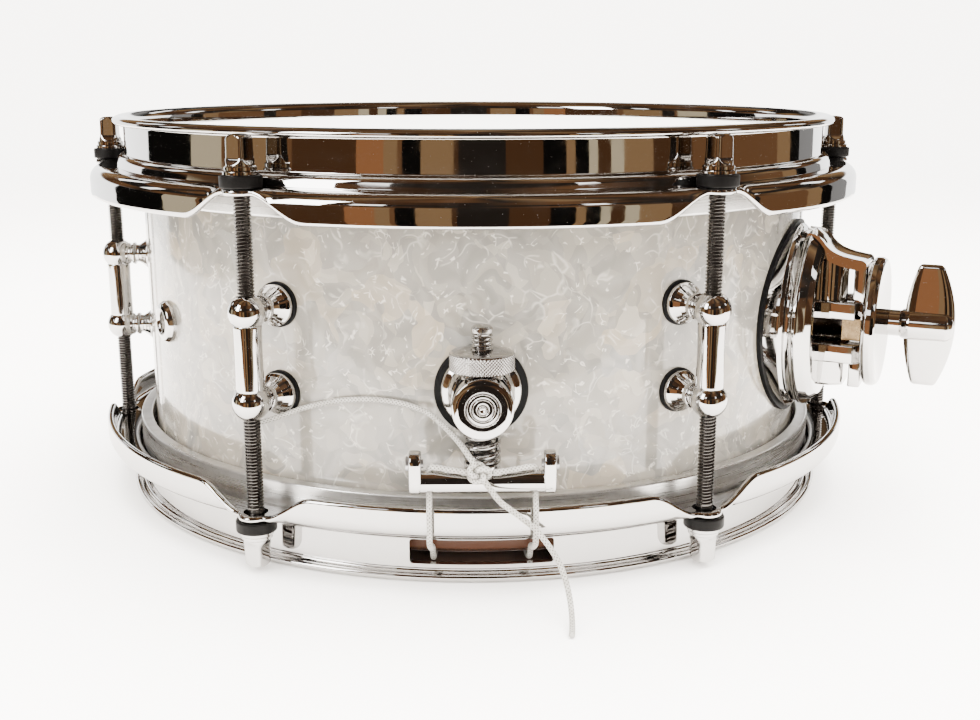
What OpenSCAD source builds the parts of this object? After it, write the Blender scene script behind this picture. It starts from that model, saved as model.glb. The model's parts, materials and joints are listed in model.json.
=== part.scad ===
// A 10 x 5 inch side snare drum: pearl-wrapped wooden shell, two heads in pressed
// steel triple-flange hoops, six tube lugs with twelve tension rods, a snare butt
// with a knurled adjuster, a snare throw-off, snare wires and a tom bracket.
// Millimetres. The origin lies on the drum's axis in the plane it stands on.
// +Z points up through the batter head and -Y towards the snare butt.

/* [Shell] */
// Outer diameter of the wooden shell
shell_d = 254; // [252:0.5:258]
// Height of the wooden shell
shell_h = 127; // [125:0.5:130]
// Thickness of the plies
ply_t = 6; // [5:0.5:8]
// Thickness of the pearl wrap
wrap_t = 0.5; // [0.3:0.1:0.6]

/* [Hoops] */
// Thickness of the hoop's steel
hoop_t = 2.3; // [1.6:0.1:2.3]
// Height that a hoop stands proud of the shell's edge
hoop_rise = 6.5; // [6:0.1:7]
// Height of a hoop from its bead to its skirt's edge
hoop_h = 28; // [27.5:0.1:28.5]
// Width of the snare gate in the lower hoop
gate_w = 45.6; // [40:0.2:50]

/* [Lugs and tension rods] */
// Number of lugs
lug_count = 6; // [6:1:6]
// Diameter of the lug's balls
ball_d = 11.7; // [11:0.1:12]
// Distance between the lug's two balls
ball_gap = 27; // [25:0.5:32]
// Diameter of the tube between the balls
tube_d = 8.8; // [8:0.1:9.5]
// Diameter of the tension rod's thread
rod_d = 5.5; // [5:0.1:5.6]
// Side of the rod's square head
head_w = 6.4; // [6:0.1:6.5]

/* [Snare strainers] */
// Height of the strainer posts above the floor
post_z = 60.5; // [60:0.5:64]
// Diameter of a strainer post's end
post_d = 18.3; // [17.5:0.1:18.6]
// Length that a strainer post stands out of the shell
post_len = 24; // [23:0.5:26]
// Length of the snare bar
bar_len = 44; // [43:0.1:45]
// Distance between the cord holes in a snare bar
cord_gap = 32; // [31:0.2:32.4]
// Diameter of the snare cord
cord_d = 1.8; // [1.5:0.1:1.8]

/* [Snare wires] */
// Number of wires
wire_count = 12; // [8:1:12]
// Length of the wires
wire_len = 176; // [160:2:180]

/* [Tom bracket] */
// Diameter of the bracket's dome
dome_d = 66.6; // [64:0.2:68]
// Bore for the tom arm
arm_bore_d = 10.5; // [9.6:0.1:10.6]
// Diameter of the end disc
cap_d = 45.8; // [44:0.2:46.4]
// Height of the wing
wing_h = 43; // [38:0.5:44]

/* [Hidden] */

round_fn = 96;
shell_r = shell_d / 2;
inner_r = shell_r - ply_t;
wrap_r = shell_r + wrap_t;
drum_h = shell_h + 2 * hoop_rise;
mid_z = drum_h / 2;
shell_top = drum_h - hoop_rise;

// Hoop section: radii outside the shell and depths below the bead's top.
wall_in = shell_r + 4;
wall_out = wall_in + hoop_t;
bead_r = 2.1;
bead_out = wall_in + 3.7;
step_r = shell_r + 9.2;
skirt_out = shell_r + 19;
skirt_in = skirt_out - hoop_t;
ledge_top = drum_h - 17.7;
ledge_low = ledge_top - hoop_t;
skirt_low = drum_h - hoop_h;
gate_low = 5;
gate_high = 13.2;
flesh_in = shell_r + 2.2;
flesh_out = shell_r + 6.4;
flesh_low = drum_h - 27.5;
flesh_top = drum_h - 16.7;

// Lug circle and rods.
lug_r = shell_r + 16;
lug_step = 360 / lug_count;
ear_r = 6;
ear_hole_r = 3.9;
ball_r = ball_d / 2;
rod_r = rod_d / 2;
rod_fit = 0.05;
wrap_gap = 0.15;
rod_tip = mid_z + 4.5;
nylon_r = 6.5;
nylon_low = ledge_top + 0.05;
nylon_high = nylon_low + 3.7;
steel_high = nylon_high + 1.25;
collar_high = steel_high + 1.5;
head_high = drum_h - 1.7;

// Strainers: distances from the wrap along the post, and heights.
gasket_t = 1.3;
post_r = post_d / 2;
post_base_r = 12.5;
stud_x = wrap_r + 13;
stud_r = 3.2;
bar_x = wrap_r + 17;
bar_r = 3.5;
bar_z = 36.5;
boss_top = post_z + post_r - 0.05;
boss_low = post_z - post_r;
knob_r = 9.85;
knob_h = 6.7;
hub_top = 41.5;
stud_top = post_z + 22.8;
throw_stud_top = post_z + 14;
bar_ear_t = 3.7;
bar_screw_z = 42.2;
wire_r = 0.9;
wire_z = 5.1;

// Bracket: distances from the wrap along the bracket's axis.
bracket_az = 64;
bracket_z = 69.2;
arm_x = wrap_r + 14;
arm_r = arm_bore_d / 2;
barrel_r = 9.2;
barrel_low = 46.2;
barrel_high = 93;
slit_x0 = wrap_r + 20.6;
slit_x1 = wrap_r + 22.6;
cap_x0 = wrap_r + 27.4;
cap_x1 = wrap_r + 32.4;
wing_x0 = wrap_r + 39.6;
wing_x1 = wrap_r + 56.6;
shank_r = 4.6;
vent_az = -58.5;
vent_z = 70;

cord_r = cord_d / 2;
hole_x = cord_gap / 2;

// Centre lines of the snare cords: round numbers, in the drum's own frame.
leg_route = [
    [-3, -148.8, 40.6], [-8, -147.6, 40.9], [-14.2, -145.6, 41.3], [-16, -144.5, 40.2],
    [-16, -144.5, 36], [-16, -144.7, 32], [-16, -146.4, 29.5], [-16, -147.6, 27],
    [-16, -147.6, 21.5], [-16, -146.6, 17.8], [-15.9, -143, 15.2],
    [-15.7, -137.5, 12.6], [-15.5, -131.5, 10.6], [-15.4, -128.9, 7], [-15.3, -126.5, 5],
    [-15.1, -117, 2.2], [-14.8, -101, 1.4], [-14.6, -97.2, 1.8], [-14, -96.4, 3.4],
    [-12, -96.4, 4.3], [-5, -96.4, 4.3]
];
back_route = [
    [16, -144.5, 43.5], [16, -144.5, 40.2], [16, -144.5, 36], [16, -144.7, 32],
    [16, -146.4, 29.5], [16, -147.6, 27], [16, -147.6, 21.5], [16, -146.6, 17.8],
    [15.9, -143, 15.2], [15.7, -137.5, 12.6], [15.5, -131.5, 10.6], [15.4, -128.9, 7],
    [15.3, -126.5, 5], [15.1, -117, 2.2], [14.8, -101, 1.4], [14.6, -97.2, 1.8],
    [14, -96.4, 3.4], [12, -96.4, 4.3], [5, -96.4, 4.3]
];
left_route = [
    [-2, -149.5, 42.5], [-4.5, -148, 46.2], [-8, -142.5, 49.4], [-12.3, -136.5, 52.2],
    [-16, -131.8, 54], [-20, -128.6, 55], [-25, -126.6, 56], [-30, -125.3, 56.5],
    [-35.5, -123.9, 56.6], [-41, -122.1, 56], [-46.5, -120.2, 55], [-52, -118, 53.3],
    [-57, -116.4, 51.6], [-62, -115.6, 49.6], [-67, -115.4, 47.8], [-71, -115, 46.6]
];
right_route = [
    [0, -150.4, 39.2], [2, -151.2, 36.5], [5, -151.4, 32.5], [8, -151.3, 30],
    [11, -151.4, 27.6], [15.5, -152.2, 24], [19, -154, 20], [22, -156.8, 15.8],
    [24, -160, 11], [25, -164, 6.5], [25.2, -168, 3.4], [25, -172, 1.6], [24.5, -176, 1]
];
knot_pos = [-1.2, -149, 40.6];
knot_r = 2.4;

function lug_az(i) = -30 - lug_step * i;

// ---- Vector and tube helpers ----
function unit(v) = v / norm(v);
function heading(p, i) =
    let (last = len(p) - 1)
    i == 0 ? unit(p[1] - p[0])
    : i == last ? unit(p[last] - p[last - 1])
    : unit(unit(p[i + 1] - p[i]) + unit(p[i] - p[i - 1]));
function side_dirs(p, i, u) =
    let (d = heading(p, i), v = unit(u - (u * d) * d))
    i == len(p) - 1 ? [v] : concat([v], side_dirs(p, i + 1, v));
function ring_point(c, d, v, r, a) = c + r * (cos(a) * v + sin(a) * cross(d, v));
function reversed(p) = [for (i = [len(p) - 1:-1:0]) p[i]];
function mirrored_x(p) = [for (q = p) [-q[0], q[1], q[2]]];
function turned_back(p) = [for (q = p) [-q[0], -q[1], q[2]]];

// One closed tube with a ring of sides at each point of the path.
module tube(path, r, sides) {
    rings = len(path);
    start = abs(heading(path, 0)[2]) > 0.9 ? [1, 0, 0] : [0, 0, 1];
    v = side_dirs(path, 0, start);
    points = [
        for (i = [0:rings - 1], k = [0:sides - 1])
            ring_point(path[i], heading(path, i), v[i], r, 360 * k / sides)
    ];
    lower = [
        for (i = [0:rings - 2], k = [0:sides - 1])
            [(i + 1) * sides + k, (i + 1) * sides + (k + 1) % sides, i * sides + k]
    ];
    upper = [
        for (i = [0:rings - 2], k = [0:sides - 1])
            [(i + 1) * sides + (k + 1) % sides, i * sides + (k + 1) % sides, i * sides + k]
    ];
    near_cap = [[for (k = [0:sides - 1]) k]];
    far_cap = [[for (k = [sides - 1:-1:0]) (rings - 1) * sides + k]];
    polyhedron(points, concat(lower, upper, near_cap, far_cap));
}

// ---- Placing helpers ----
// Local +X points out of the drum at this angle from the front.
module at_az(az) {
    rotate([0, 0, az - 90]) children();
}

module upside_down() {
    translate([0, 0, drum_h]) mirror([0, 0, 1]) children();
}

// A cylinder along local X from x0 to x1 at height z and sideways offset w.
module x_rod(r, x0, x1, z = 0, w = 0) {
    translate([x0, w, z]) rotate([0, 90, 0]) cylinder(r = r, h = x1 - x0, $fn = round_fn);
}

// A solid of revolution about local X; the profile holds [x, r] pairs.
module x_turned(profile, z = 0) {
    translate([0, 0, z]) rotate([0, 90, 0])
        rotate_extrude($fn = round_fn)
            polygon([for (p = profile) [p[1], p[0]]]);
}

module z_rod(r, z0, z1, x = 0, w = 0) {
    translate([x, w, z0]) cylinder(r = r, h = z1 - z0, $fn = round_fn);
}

// Extrudes an [x, z] outline sideways to the width given.
module side_plate(outline, width) {
    rotate([90, 0, 0]) translate([0, 0, -width / 2])
        linear_extrude(width) polygon(outline);
}

// ---- Shell ----
module shell_holes() {
    for (i = [0:lug_count - 1], s = [-1, 1])
        at_az(lug_az(i)) x_rod(2.3, inner_r - 5, wrap_r + 5, mid_z + s * ball_gap / 2);
    for (az = [0, 180], w = [-6.5, 6.5])
        at_az(az) x_rod(1.9, inner_r - 5, wrap_r + 5, post_z, w);
    for (w = [-15, 15], z = [-15, 15])
        at_az(bracket_az) x_rod(2.5, inner_r - 8, wrap_r + 5, bracket_z + z, w);
    at_az(vent_az) x_rod(5.1, inner_r - 5, wrap_r + 5, vent_z);
}

module shell() {
    edge = 1.5;
    color("burlywood") difference() {
        rotate_extrude($fn = round_fn) polygon([
            [inner_r, hoop_rise + 4.5], [shell_r - edge, hoop_rise],
            [shell_r, hoop_rise + 2], [shell_r, shell_top - 2],
            [shell_r - edge, shell_top], [inner_r, shell_top - 4.5]
        ]);
        shell_holes();
    }
}

module shell_wrap() {
    color("whitesmoke") difference() {
        rotate_extrude($fn = round_fn) translate([shell_r, hoop_rise + 2.5])
            square([wrap_t, shell_h - 5]);
        shell_holes();
    }
}

// ---- Heads and hoops, drawn for the batter side ----
module head_film() {
    film = 0.25;
    edge_r = shell_r - 1.5;
    rotate_extrude($fn = round_fn) polygon([
        [0, shell_top + 0.05], [edge_r, shell_top + 0.05], [wrap_r + 0.2, shell_top - 1.3],
        [wrap_r + 0.35, shell_top - 2.5], [flesh_in + 0.1, flesh_top + 0.05],
        [flesh_in + 0.4, flesh_top + 0.05], [wrap_r + 0.65, shell_top - 2.5],
        [wrap_r + 0.5, shell_top - 1.1], [edge_r + 0.2, shell_top + 0.05 + film],
        [0, shell_top + 0.05 + film]
    ]);
}

module flesh_hoop() {
    c = 0.7;
    rotate_extrude($fn = round_fn) polygon([
        [flesh_in, flesh_low + c], [flesh_in + c, flesh_low], [flesh_out - c, flesh_low],
        [flesh_out, flesh_low + c], [flesh_out, flesh_top - c], [flesh_out - c, flesh_top],
        [flesh_in, flesh_top]
    ]);
}

module hoop_section() {
    bead_z = drum_h - bead_r;
    for (x = [wall_in + bead_r, wall_in + bead_r + 1.5])
        translate([x, bead_z]) circle(r = bead_r, $fn = 48);
    translate([wall_in + bead_r, bead_z - bead_r]) square([1.5, 2 * bead_r]);
    polygon([
        [wall_in, bead_z], [wall_in, ledge_top + 2], [step_r - hoop_t, ledge_top + 1.3],
        [step_r - hoop_t + 0.1, ledge_low], [skirt_in - 1.2, ledge_low],
        [skirt_in, ledge_low - 1.6], [skirt_in, skirt_low],
        [skirt_out, skirt_low], [skirt_out, ledge_top - 3.4], [skirt_out - 0.9, ledge_top - 1.1],
        [skirt_out - 3.2, ledge_top], [step_r + 0.3, ledge_top],
        [step_r - 0.4, ledge_top + 3.2], [step_r - 1.6, ledge_top + 3.9],
        [wall_out, ledge_top + 4.4], [wall_out, bead_z]
    ]);
}

// Takes the skirt away under one ear, with sloping sides.
module skirt_notch() {
    top_w = 6;
    low_w = 19;
    rotate([90, 0, 90]) translate([0, 0, skirt_in - 3])
        linear_extrude(8) polygon([
            [-low_w, skirt_low - 1], [low_w, skirt_low - 1],
            [top_w, ledge_low], [-top_w, ledge_low]
        ]);
}

module ear() {
    translate([0, 0, ledge_low]) linear_extrude(hoop_t) {
        translate([lug_r, 0]) circle(r = ear_r, $fn = 64);
        translate([step_r, -ear_r]) square([lug_r - step_r, 2 * ear_r]);
    }
}

module hoop_body() {
    difference() {
        union() {
            difference() {
                rotate_extrude($fn = round_fn) hoop_section();
                for (i = [0:lug_count - 1]) at_az(lug_az(i)) skirt_notch();
            }
            for (i = [0:lug_count - 1]) at_az(lug_az(i)) ear();
        }
        for (i = [0:lug_count - 1])
            at_az(lug_az(i)) z_rod(ear_hole_r, ledge_low - 1, ledge_top + 0.9, lug_r);
    }
}

module batter_head() {
    color("ivory") head_film();
}

module batter_flesh_hoop() {
    color("gainsboro") flesh_hoop();
}

module batter_hoop() {
    color("silver") hoop_body();
}

module snare_side_head() {
    color("ghostwhite") upside_down() head_film();
}

module snare_side_flesh_hoop() {
    color("gainsboro") upside_down() flesh_hoop();
}

// The lower hoop has a gate at the front and the back for the snare cords.
module snare_side_hoop() {
    color("silver") difference() {
        upside_down() hoop_body();
        for (y = [-1, 1])
            translate([-gate_w / 2, y * (wall_in + 1) - 4, gate_low])
                cube([gate_w, 8, gate_high - gate_low]);
    }
}

// ---- Lugs and rods ----
module lug(i) {
    color("silver") at_az(lug_az(i)) difference() {
        union() {
            z_rod(tube_d / 2, mid_z - ball_gap / 2, mid_z + ball_gap / 2, lug_r);
            for (s = [-1, 1]) {
                translate([lug_r, 0, mid_z + s * ball_gap / 2]) sphere(r = ball_r, $fn = 64);
                x_turned([
                    [lug_r, 0], [lug_r, ball_r - 0.05], [lug_r - 3.6, ball_r - 0.05],
                    [lug_r - 4, ball_r - 0.5], [lug_r - 4.6, 4], [lug_r - 5.4, 3.3],
                    [lug_r - 6, 3.3], [lug_r - 6.3, 4.3], [lug_r - 7.1, 4.3],
                    [lug_r - 7.5, 3.4], [lug_r - 8.6, 3.6], [lug_r - 10, 4.6],
                    [lug_r - 11.8, 6.1], [lug_r - 13, 6.7],
                    [wrap_r + gasket_t, 6.7], [wrap_r + gasket_t, 0]
                ], mid_z + s * ball_gap / 2);
            }
        }
        z_rod(rod_r + rod_fit, mid_z - 30, mid_z + 30, lug_r);
        for (s = [-1, 1])
            x_rod(1.9, wrap_r, lug_r - 6.8, mid_z + s * ball_gap / 2);
    }
}

module lug_gaskets() {
    color("black") for (i = [0:lug_count - 1], s = [-1, 1])
        at_az(lug_az(i)) difference() {
            x_rod(7.3, wrap_r - 1, wrap_r + gasket_t - 0.02, mid_z + s * ball_gap / 2);
            z_rod(wrap_r + wrap_gap, mid_z - 40, mid_z + 40);
            x_rod(2.3, wrap_r - 2, wrap_r + 3, mid_z + s * ball_gap / 2);
        }
}

module lug_screws() {
    color("dimgray") for (i = [0:lug_count - 1], s = [-1, 1])
        at_az(lug_az(i)) plain_screw(1.85, lug_r - 7, mid_z + s * ball_gap / 2, 0);
}

// A screw from inside the shell: washer, pan head and shank along local X.
module plain_screw(r, tip_x, z, w) {
    flat = sqrt(pow(inner_r, 2) - pow(abs(w) + 2.4 * r, 2)) - 0.05;
    translate([0, w, 0]) {
        x_rod(2.4 * r, flat - 0.9, flat, z);
        x_turned([
            [flat - 0.8, 0], [flat - 0.8, 2 * r], [flat - 2.3, 2 * r - 0.2],
            [flat - 3.1, r], [flat - 3.1, 0]
        ], z);
        x_rod(r, flat - 1, tip_x, z);
    }
}

module tension_rod(i) {
    color("lightgray") at_az(lug_az(i)) {
        z_rod(rod_r, rod_tip, collar_high - 0.5, lug_r);
        z_rod(4.9, steel_high + 0.05, collar_high, lug_r);
        intersection() {
            translate([lug_r - head_w / 2, -head_w / 2, collar_high - 0.2])
                cube([head_w, head_w, head_high - collar_high + 0.2]);
            translate([lug_r, 0, collar_high - 2]) cylinder(r = 4.1, h = 14, $fn = 64);
            translate([lug_r, 0, head_high - 6]) sphere(r = 6, $fn = 64);
        }
        translate([lug_r - head_w / 2, -head_w / 2, collar_high - 0.1])
            cube([head_w, head_w, 4.5]);
    }
}

module both_sides() {
    children();
    upside_down() children();
}

module nylon_washers() {
    color("black") both_sides() for (i = [0:lug_count - 1])
        at_az(lug_az(i)) difference() {
            z_rod(nylon_r, nylon_low, nylon_high, lug_r);
            z_rod(rod_r + 0.2, nylon_low - 1, nylon_high + 1, lug_r);
        }
}

module steel_washers() {
    color("silver") both_sides() for (i = [0:lug_count - 1])
        at_az(lug_az(i)) difference() {
            z_rod(5.4, nylon_high + 0.03, steel_high, lug_r);
            z_rod(rod_r + 0.2, nylon_high - 1, steel_high + 1, lug_r);
        }
}

module air_vent() {
    color("silver") at_az(vent_az) difference() {
        union() {
            difference() {
                x_turned([
                    [wrap_r - 1, 0], [wrap_r - 1, 7.4], [wrap_r + 1.2, 7.4],
                    [wrap_r + 2.2, 7], [wrap_r + 2.9, 6], [wrap_r + 3.1, 5], [wrap_r + 3.1, 0]
                ], vent_z);
                z_rod(wrap_r + wrap_gap, mid_z - 40, mid_z + 40);
            }
            x_rod(5, inner_r - 1.5, wrap_r + 1, vent_z);
            x_rod(7.4, inner_r - 2.3, inner_r - 0.4, vent_z);
        }
        x_rod(3.6, inner_r - 5, wrap_r + 5, vent_z);
    }
}

// ---- Snare strainers, drawn at the front along local X ----
module strainer_gasket() {
    difference() {
        x_rod(post_base_r + 2.1, wrap_r - 2, wrap_r + gasket_t - 0.02, post_z);
        z_rod(wrap_r + wrap_gap, post_z - 30, post_z + 30);
        for (w = [-6.5, 6.5]) x_rod(1.9, wrap_r - 3, wrap_r + 3, post_z, w);
    }
}

module post_body() {
    x0 = wrap_r + gasket_t;
    x1 = wrap_r + post_len;
    difference() {
        union() {
            x_turned([
                [x0, 0], [x0, post_base_r], [x0 + 1, post_base_r], [x0 + 1.9, post_base_r - 0.8],
                [x0 + 2.4, post_base_r - 1.8], [x0 + 4.5, post_r + 1], [x0 + 6.5, post_r],
                [x1 - 0.6, post_r], [x1, post_r - 0.6], [x1, 0]
            ], post_z);
            z_rod(6, post_z, boss_top, stud_x);
            z_rod(6.4, boss_low + 0.2, post_z, stud_x);
        }
        z_rod(stud_r + 0.1, boss_low - 2, boss_top + 2, stud_x);
        for (w = [-6.5, 6.5]) x_rod(1.6, wrap_r, wrap_r + 8, post_z, w);
    }
}

module butt_gasket() {
    color("black") at_az(0) strainer_gasket();
}

module butt_post() {
    x1 = wrap_r + post_len;
    color("silver") at_az(0) difference() {
        post_body();
        z_rod(knob_r + 0.3, boss_top + 0.02, boss_top + 8, stud_x);
        for (r = [1.9, 3.6, 5.2]) x_turned([
            [x1 - 0.35, r - 0.4], [x1 + 1, r - 0.4], [x1 + 1, r + 0.4], [x1 - 0.35, r + 0.4]
        ], post_z);
    }
}

module butt_knob() {
    c = 0.8;
    z0 = boss_top + 0.05;
    color("gainsboro") at_az(0) translate([stud_x, 0, z0]) difference() {
        rotate_extrude($fn = round_fn) polygon([
            [0, 0], [knob_r - c, 0], [knob_r, c], [knob_r, knob_h - 1.1],
            [knob_r - 1.2, knob_h - 0.5], [knob_r - 4, knob_h], [0, knob_h]
        ]);
        translate([0, 0, -1]) cylinder(r = stud_r + 0.05, h = knob_h + 2, $fn = round_fn);
    }
}

module stud(top) {
    z_rod(stud_r, bar_z - 2, top - 0.6, stud_x);
    translate([stud_x, 0, top - 0.6])
        cylinder(r1 = stud_r, r2 = stud_r - 0.6, h = 0.6, $fn = round_fn);
}

module butt_stud() {
    color("lightgray") at_az(0) stud(stud_top);
}

// The bar that pulls the cords: a round bar with an upright ear at each end.
module bar_body() {
    half = bar_len / 2;
    difference() {
        union() {
            translate([bar_x, half - 1, bar_z]) rotate([90, 0, 0])
                cylinder(r = bar_r, h = bar_len - 2, $fn = round_fn);
            z_rod(5.6, bar_z - 3, hub_top, stud_x);
            translate([stud_x, -4.5, bar_z - 3]) cube([bar_x - stud_x, 9, 5.5]);
            for (w = [-half, half - bar_ear_t])
                translate([0, w + bar_ear_t, 0]) rotate([90, 0, 0]) linear_extrude(bar_ear_t) {
                    translate([bar_x, bar_z]) circle(r = bar_r + 0.2, $fn = 48);
                    translate([bar_x, bar_z + 5]) circle(r = bar_r + 0.2, $fn = 48);
                    translate([bar_x - bar_r - 0.2, bar_z]) square([2 * bar_r + 0.4, 5]);
                }
        }
        z_rod(stud_r + 0.03, bar_z - 2.05, hub_top + 1, stud_x);
        for (w = [-hole_x, hole_x]) z_rod(cord_r + 0.25, bar_z - 8, bar_z + 8, bar_x, w);
        for (w = [-1, 1]) translate([bar_x, w * (half + 1), bar_screw_z]) rotate([90 * w, 0, 0])
            cylinder(r = 1.35, h = bar_ear_t + 2, $fn = 32);
    }
}

module bar_screws() {
    half = bar_len / 2;
    for (w = [-1, 1]) translate([bar_x, w * (half + 0.9), bar_screw_z]) rotate([90 * w, 0, 0]) {
        cylinder(r = 1.3, h = 5.2, $fn = 32);
        cylinder(r = 2.2, h = 0.85, $fn = 32);
    }
}

// Compression spring on the stud between the post and the bar's hub.
module strainer_spring() {
    coil_r = 4.85;
    wire = 0.95;
    turns = 2.75;
    steps = 36;
    z0 = hub_top + wire + 0.1;
    z1 = boss_low - wire - 0.1;
    tube([
        for (i = [0:steps]) let (a = 360 * turns * i / steps)
            [stud_x + coil_r * cos(a), coil_r * sin(a), z0 + (z1 - z0) * i / steps]
    ], wire, 8);
}

module butt_bar() {
    color("silver") at_az(0) bar_body();
}

module butt_bar_screws() {
    color("dimgray") at_az(0) bar_screws();
}

module butt_spring() {
    color("gray") at_az(0) strainer_spring();
}

module throwoff_gasket() {
    color("black") at_az(180) strainer_gasket();
}

module throwoff_post() {
    color("silver") at_az(180) difference() {
        post_body();
        x_rod(3.05, wrap_r + 17.5, wrap_r + post_len + 1, post_z);
    }
}

module throwoff_lever() {
    x0 = wrap_r + post_len + 0.2;
    t = 4;
    tip_z = post_z + 36;
    color("silver") at_az(180) {
        x_rod(3, wrap_r + 17.8, x0 + 1, post_z);
        x_rod(post_r, x0, x0 + t, post_z);
        rotate([90, 0, 90]) translate([0, 0, x0]) linear_extrude(t) {
            polygon([
                [-6.5, post_z], [6.5, post_z], [3.5, post_z + 16], [4.5, tip_z],
                [-4.5, tip_z], [-3.5, post_z + 16]
            ]);
            translate([0, tip_z]) circle(r = 4.5, $fn = 48);
        }
    }
}

module throwoff_stud() {
    color("lightgray") at_az(180) stud(throw_stud_top);
}

module throwoff_bar() {
    color("silver") at_az(180) bar_body();
}

module throwoff_bar_screws() {
    color("dimgray") at_az(180) bar_screws();
}

module throwoff_spring() {
    color("gray") at_az(180) strainer_spring();
}

module strainer_screws() {
    color("dimgray") for (az = [0, 180], w = [-6.5, 6.5])
        at_az(az) plain_screw(1.55, wrap_r + 7.5, post_z, w);
}

// ---- Tom bracket, drawn along local X ----
module bracket_gasket() {
    color("black") at_az(bracket_az) difference() {
        intersection() {
            x_rod(dome_d / 2 + 1.5, wrap_r - 12, wrap_r + 5, bracket_z);
            z_rod(wrap_r + 1.45, mid_z - 50, mid_z + 50);
        }
        z_rod(wrap_r + wrap_gap, mid_z - 60, mid_z + 60);
        for (w = [-15, 15], z = [-15, 15]) x_rod(2.5, wrap_r - 5, wrap_r + 5, bracket_z + z, w);
    }
}

module dome_solid() {
    r = dome_d / 2;
    b = wrap_r;
    difference() {
        x_turned([
            [b - 10, 0], [b - 10, r], [b + 2.2, r], [b + 2.9, r - 0.5], [b + 3.4, r - 1.6],
            [b + 3.8, r - 2.1], [b + 5.6, r - 2.3], [b + 6.2, r - 1.6], [b + 7.4, r - 1.3],
            [b + 8.6, r - 1.7], [b + 10.3, r - 3.2], [b + 11.5, r - 4.5], [b + 12.2, r - 5.6],
            [b + 12.5, r - 7], [b + 12.5, 0]
        ], bracket_z);
        z_rod(wrap_r + 1.5, mid_z - 50, mid_z + 50);
    }
}

// The clamp: a barrel round the arm with two square bars, an outer leg and a top plate.
module clamp_block() {
    b = wrap_r;
    z_rod(barrel_r, barrel_low, barrel_high - 4, arm_x);
    translate([b + 6, -11, 70.8]) cube([21.2, 22, 6.1]);
    translate([b + 6, -11, 55.1]) cube([21.2, 22, 6.6]);
    translate([b + 5, -7, 56]) cube([9, 14, 32]);
    translate([slit_x1, -7, barrel_low]) cube([4.2, 14, 9.9]);
    translate([slit_x1, -7, 76]) cube([4.2, 14, 13.4]);
    side_plate([
        [b + 6, 100.4], [b + 8.6, 99.6], [b + 10.3, 98.8], [b + 12.2, 96.4], [b + 14.6, 94.2],
        [b + 18, 92.6], [b + 22, 91.7], [b + 25.5, 91.2], [b + 26, 90.4], [b + 25.6, 88.6],
        [b + 14, 88.6], [b + 6, 88.6]
    ], 19);
}

module bracket_base() {
    b = wrap_r;
    color("silver") at_az(bracket_az) difference() {
        union() {
            dome_solid();
            clamp_block();
        }
        z_rod(arm_r, barrel_low - 2, barrel_high + 12, arm_x);
        z_rod(arm_r + 1.4, barrel_high, barrel_high + 12, arm_x);
        translate([b + 8.5, -20, 61.7]) cube([20, 40, 9.1]);
        translate([arm_x, -6.4, 62.2]) cube([15, 12.8, 13.8]);
        translate([slit_x0, -20, barrel_low - 2]) cube([slit_x1 - slit_x0, 40, 10.9]);
        translate([slit_x0, -20, 76.9]) cube([slit_x1 - slit_x0, 40, 11.7]);
        for (w = [-15, 15], z = [-15, 15]) x_rod(2, b - 2, b + 6, bracket_z + z, w);
    }
}

module bracket_cap() {
    r = cap_d / 2;
    color("silver") at_az(bracket_az) difference() {
        x_turned([
            [cap_x0, 0], [cap_x0, r - 2], [cap_x0 + 0.6, r - 0.7], [cap_x0 + 1.6, r],
            [cap_x1 - 1.4, r], [cap_x1 - 0.4, r - 0.6], [cap_x1, r - 1.4], [cap_x1 - 0.1, r - 2.2],
            [cap_x1 - 3, 8], [cap_x1 - 3, 0]
        ], bracket_z);
        x_rod(shank_r + 0.05, cap_x0 - 1, cap_x1 + 1, bracket_z);
    }
}

module bracket_jaw() {
    x0 = arm_x + arm_r + 0.1;
    x1 = cap_x0 - 0.1;
    color("gray") at_az(bracket_az)
        translate([x0, -6, bracket_z - 6.6]) cube([x1 - x0, 12, 13.2]);
}

module bracket_wing_screw() {
    half = wing_h / 2;
    x0 = wing_x0;
    x1 = wing_x1;
    color("silver") at_az(bracket_az) {
        x_rod(shank_r, cap_x0 - 0.05, x0 + 1, bracket_z);
        x_turned([
            [x0 - 0.5, 0], [x0 - 0.5, 5.2], [x0 + 1.5, 5.8], [x1 - 2, 5.6],
            [x1 - 0.6, 4.4], [x1, 2.6], [x1, 0]
        ], bracket_z);
        translate([0, 0, bracket_z]) side_plate([
            [x0, 0], [x0 + 0.5, 6], [x0 + 2.8, half - 2.5], [x0 + 3.8, half - 0.6],
            [x0 + 4.8, half], [x1 - 5, half], [x1 - 3.8, half - 0.6], [x1 - 2.8, half - 2.5],
            [x1 - 0.4, 6], [x1, 0], [x1 - 0.4, -6], [x1 - 2.8, 2.5 - half],
            [x1 - 3.8, 0.6 - half], [x1 - 5, -half], [x0 + 4.8, -half],
            [x0 + 3.8, 0.6 - half], [x0 + 2.8, 2.5 - half], [x0 + 0.5, -6]
        ], 5);
    }
}

module bracket_screws() {
    color("dimgray") for (w = [-15, 15], z = [-15, 15])
        at_az(bracket_az) plain_screw(1.95, wrap_r + 5.5, bracket_z + z, w);
}

// ---- Snares ----
module snare_wires() {
    pitch = 3.4;
    color("lightgray") for (i = [0:wire_count - 1])
        translate([pitch * (i - (wire_count - 1) / 2), wire_len / 2, wire_z])
            rotate([90, 0, 0]) cylinder(r = wire_r, h = wire_len, $fn = 24);
}

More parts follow.
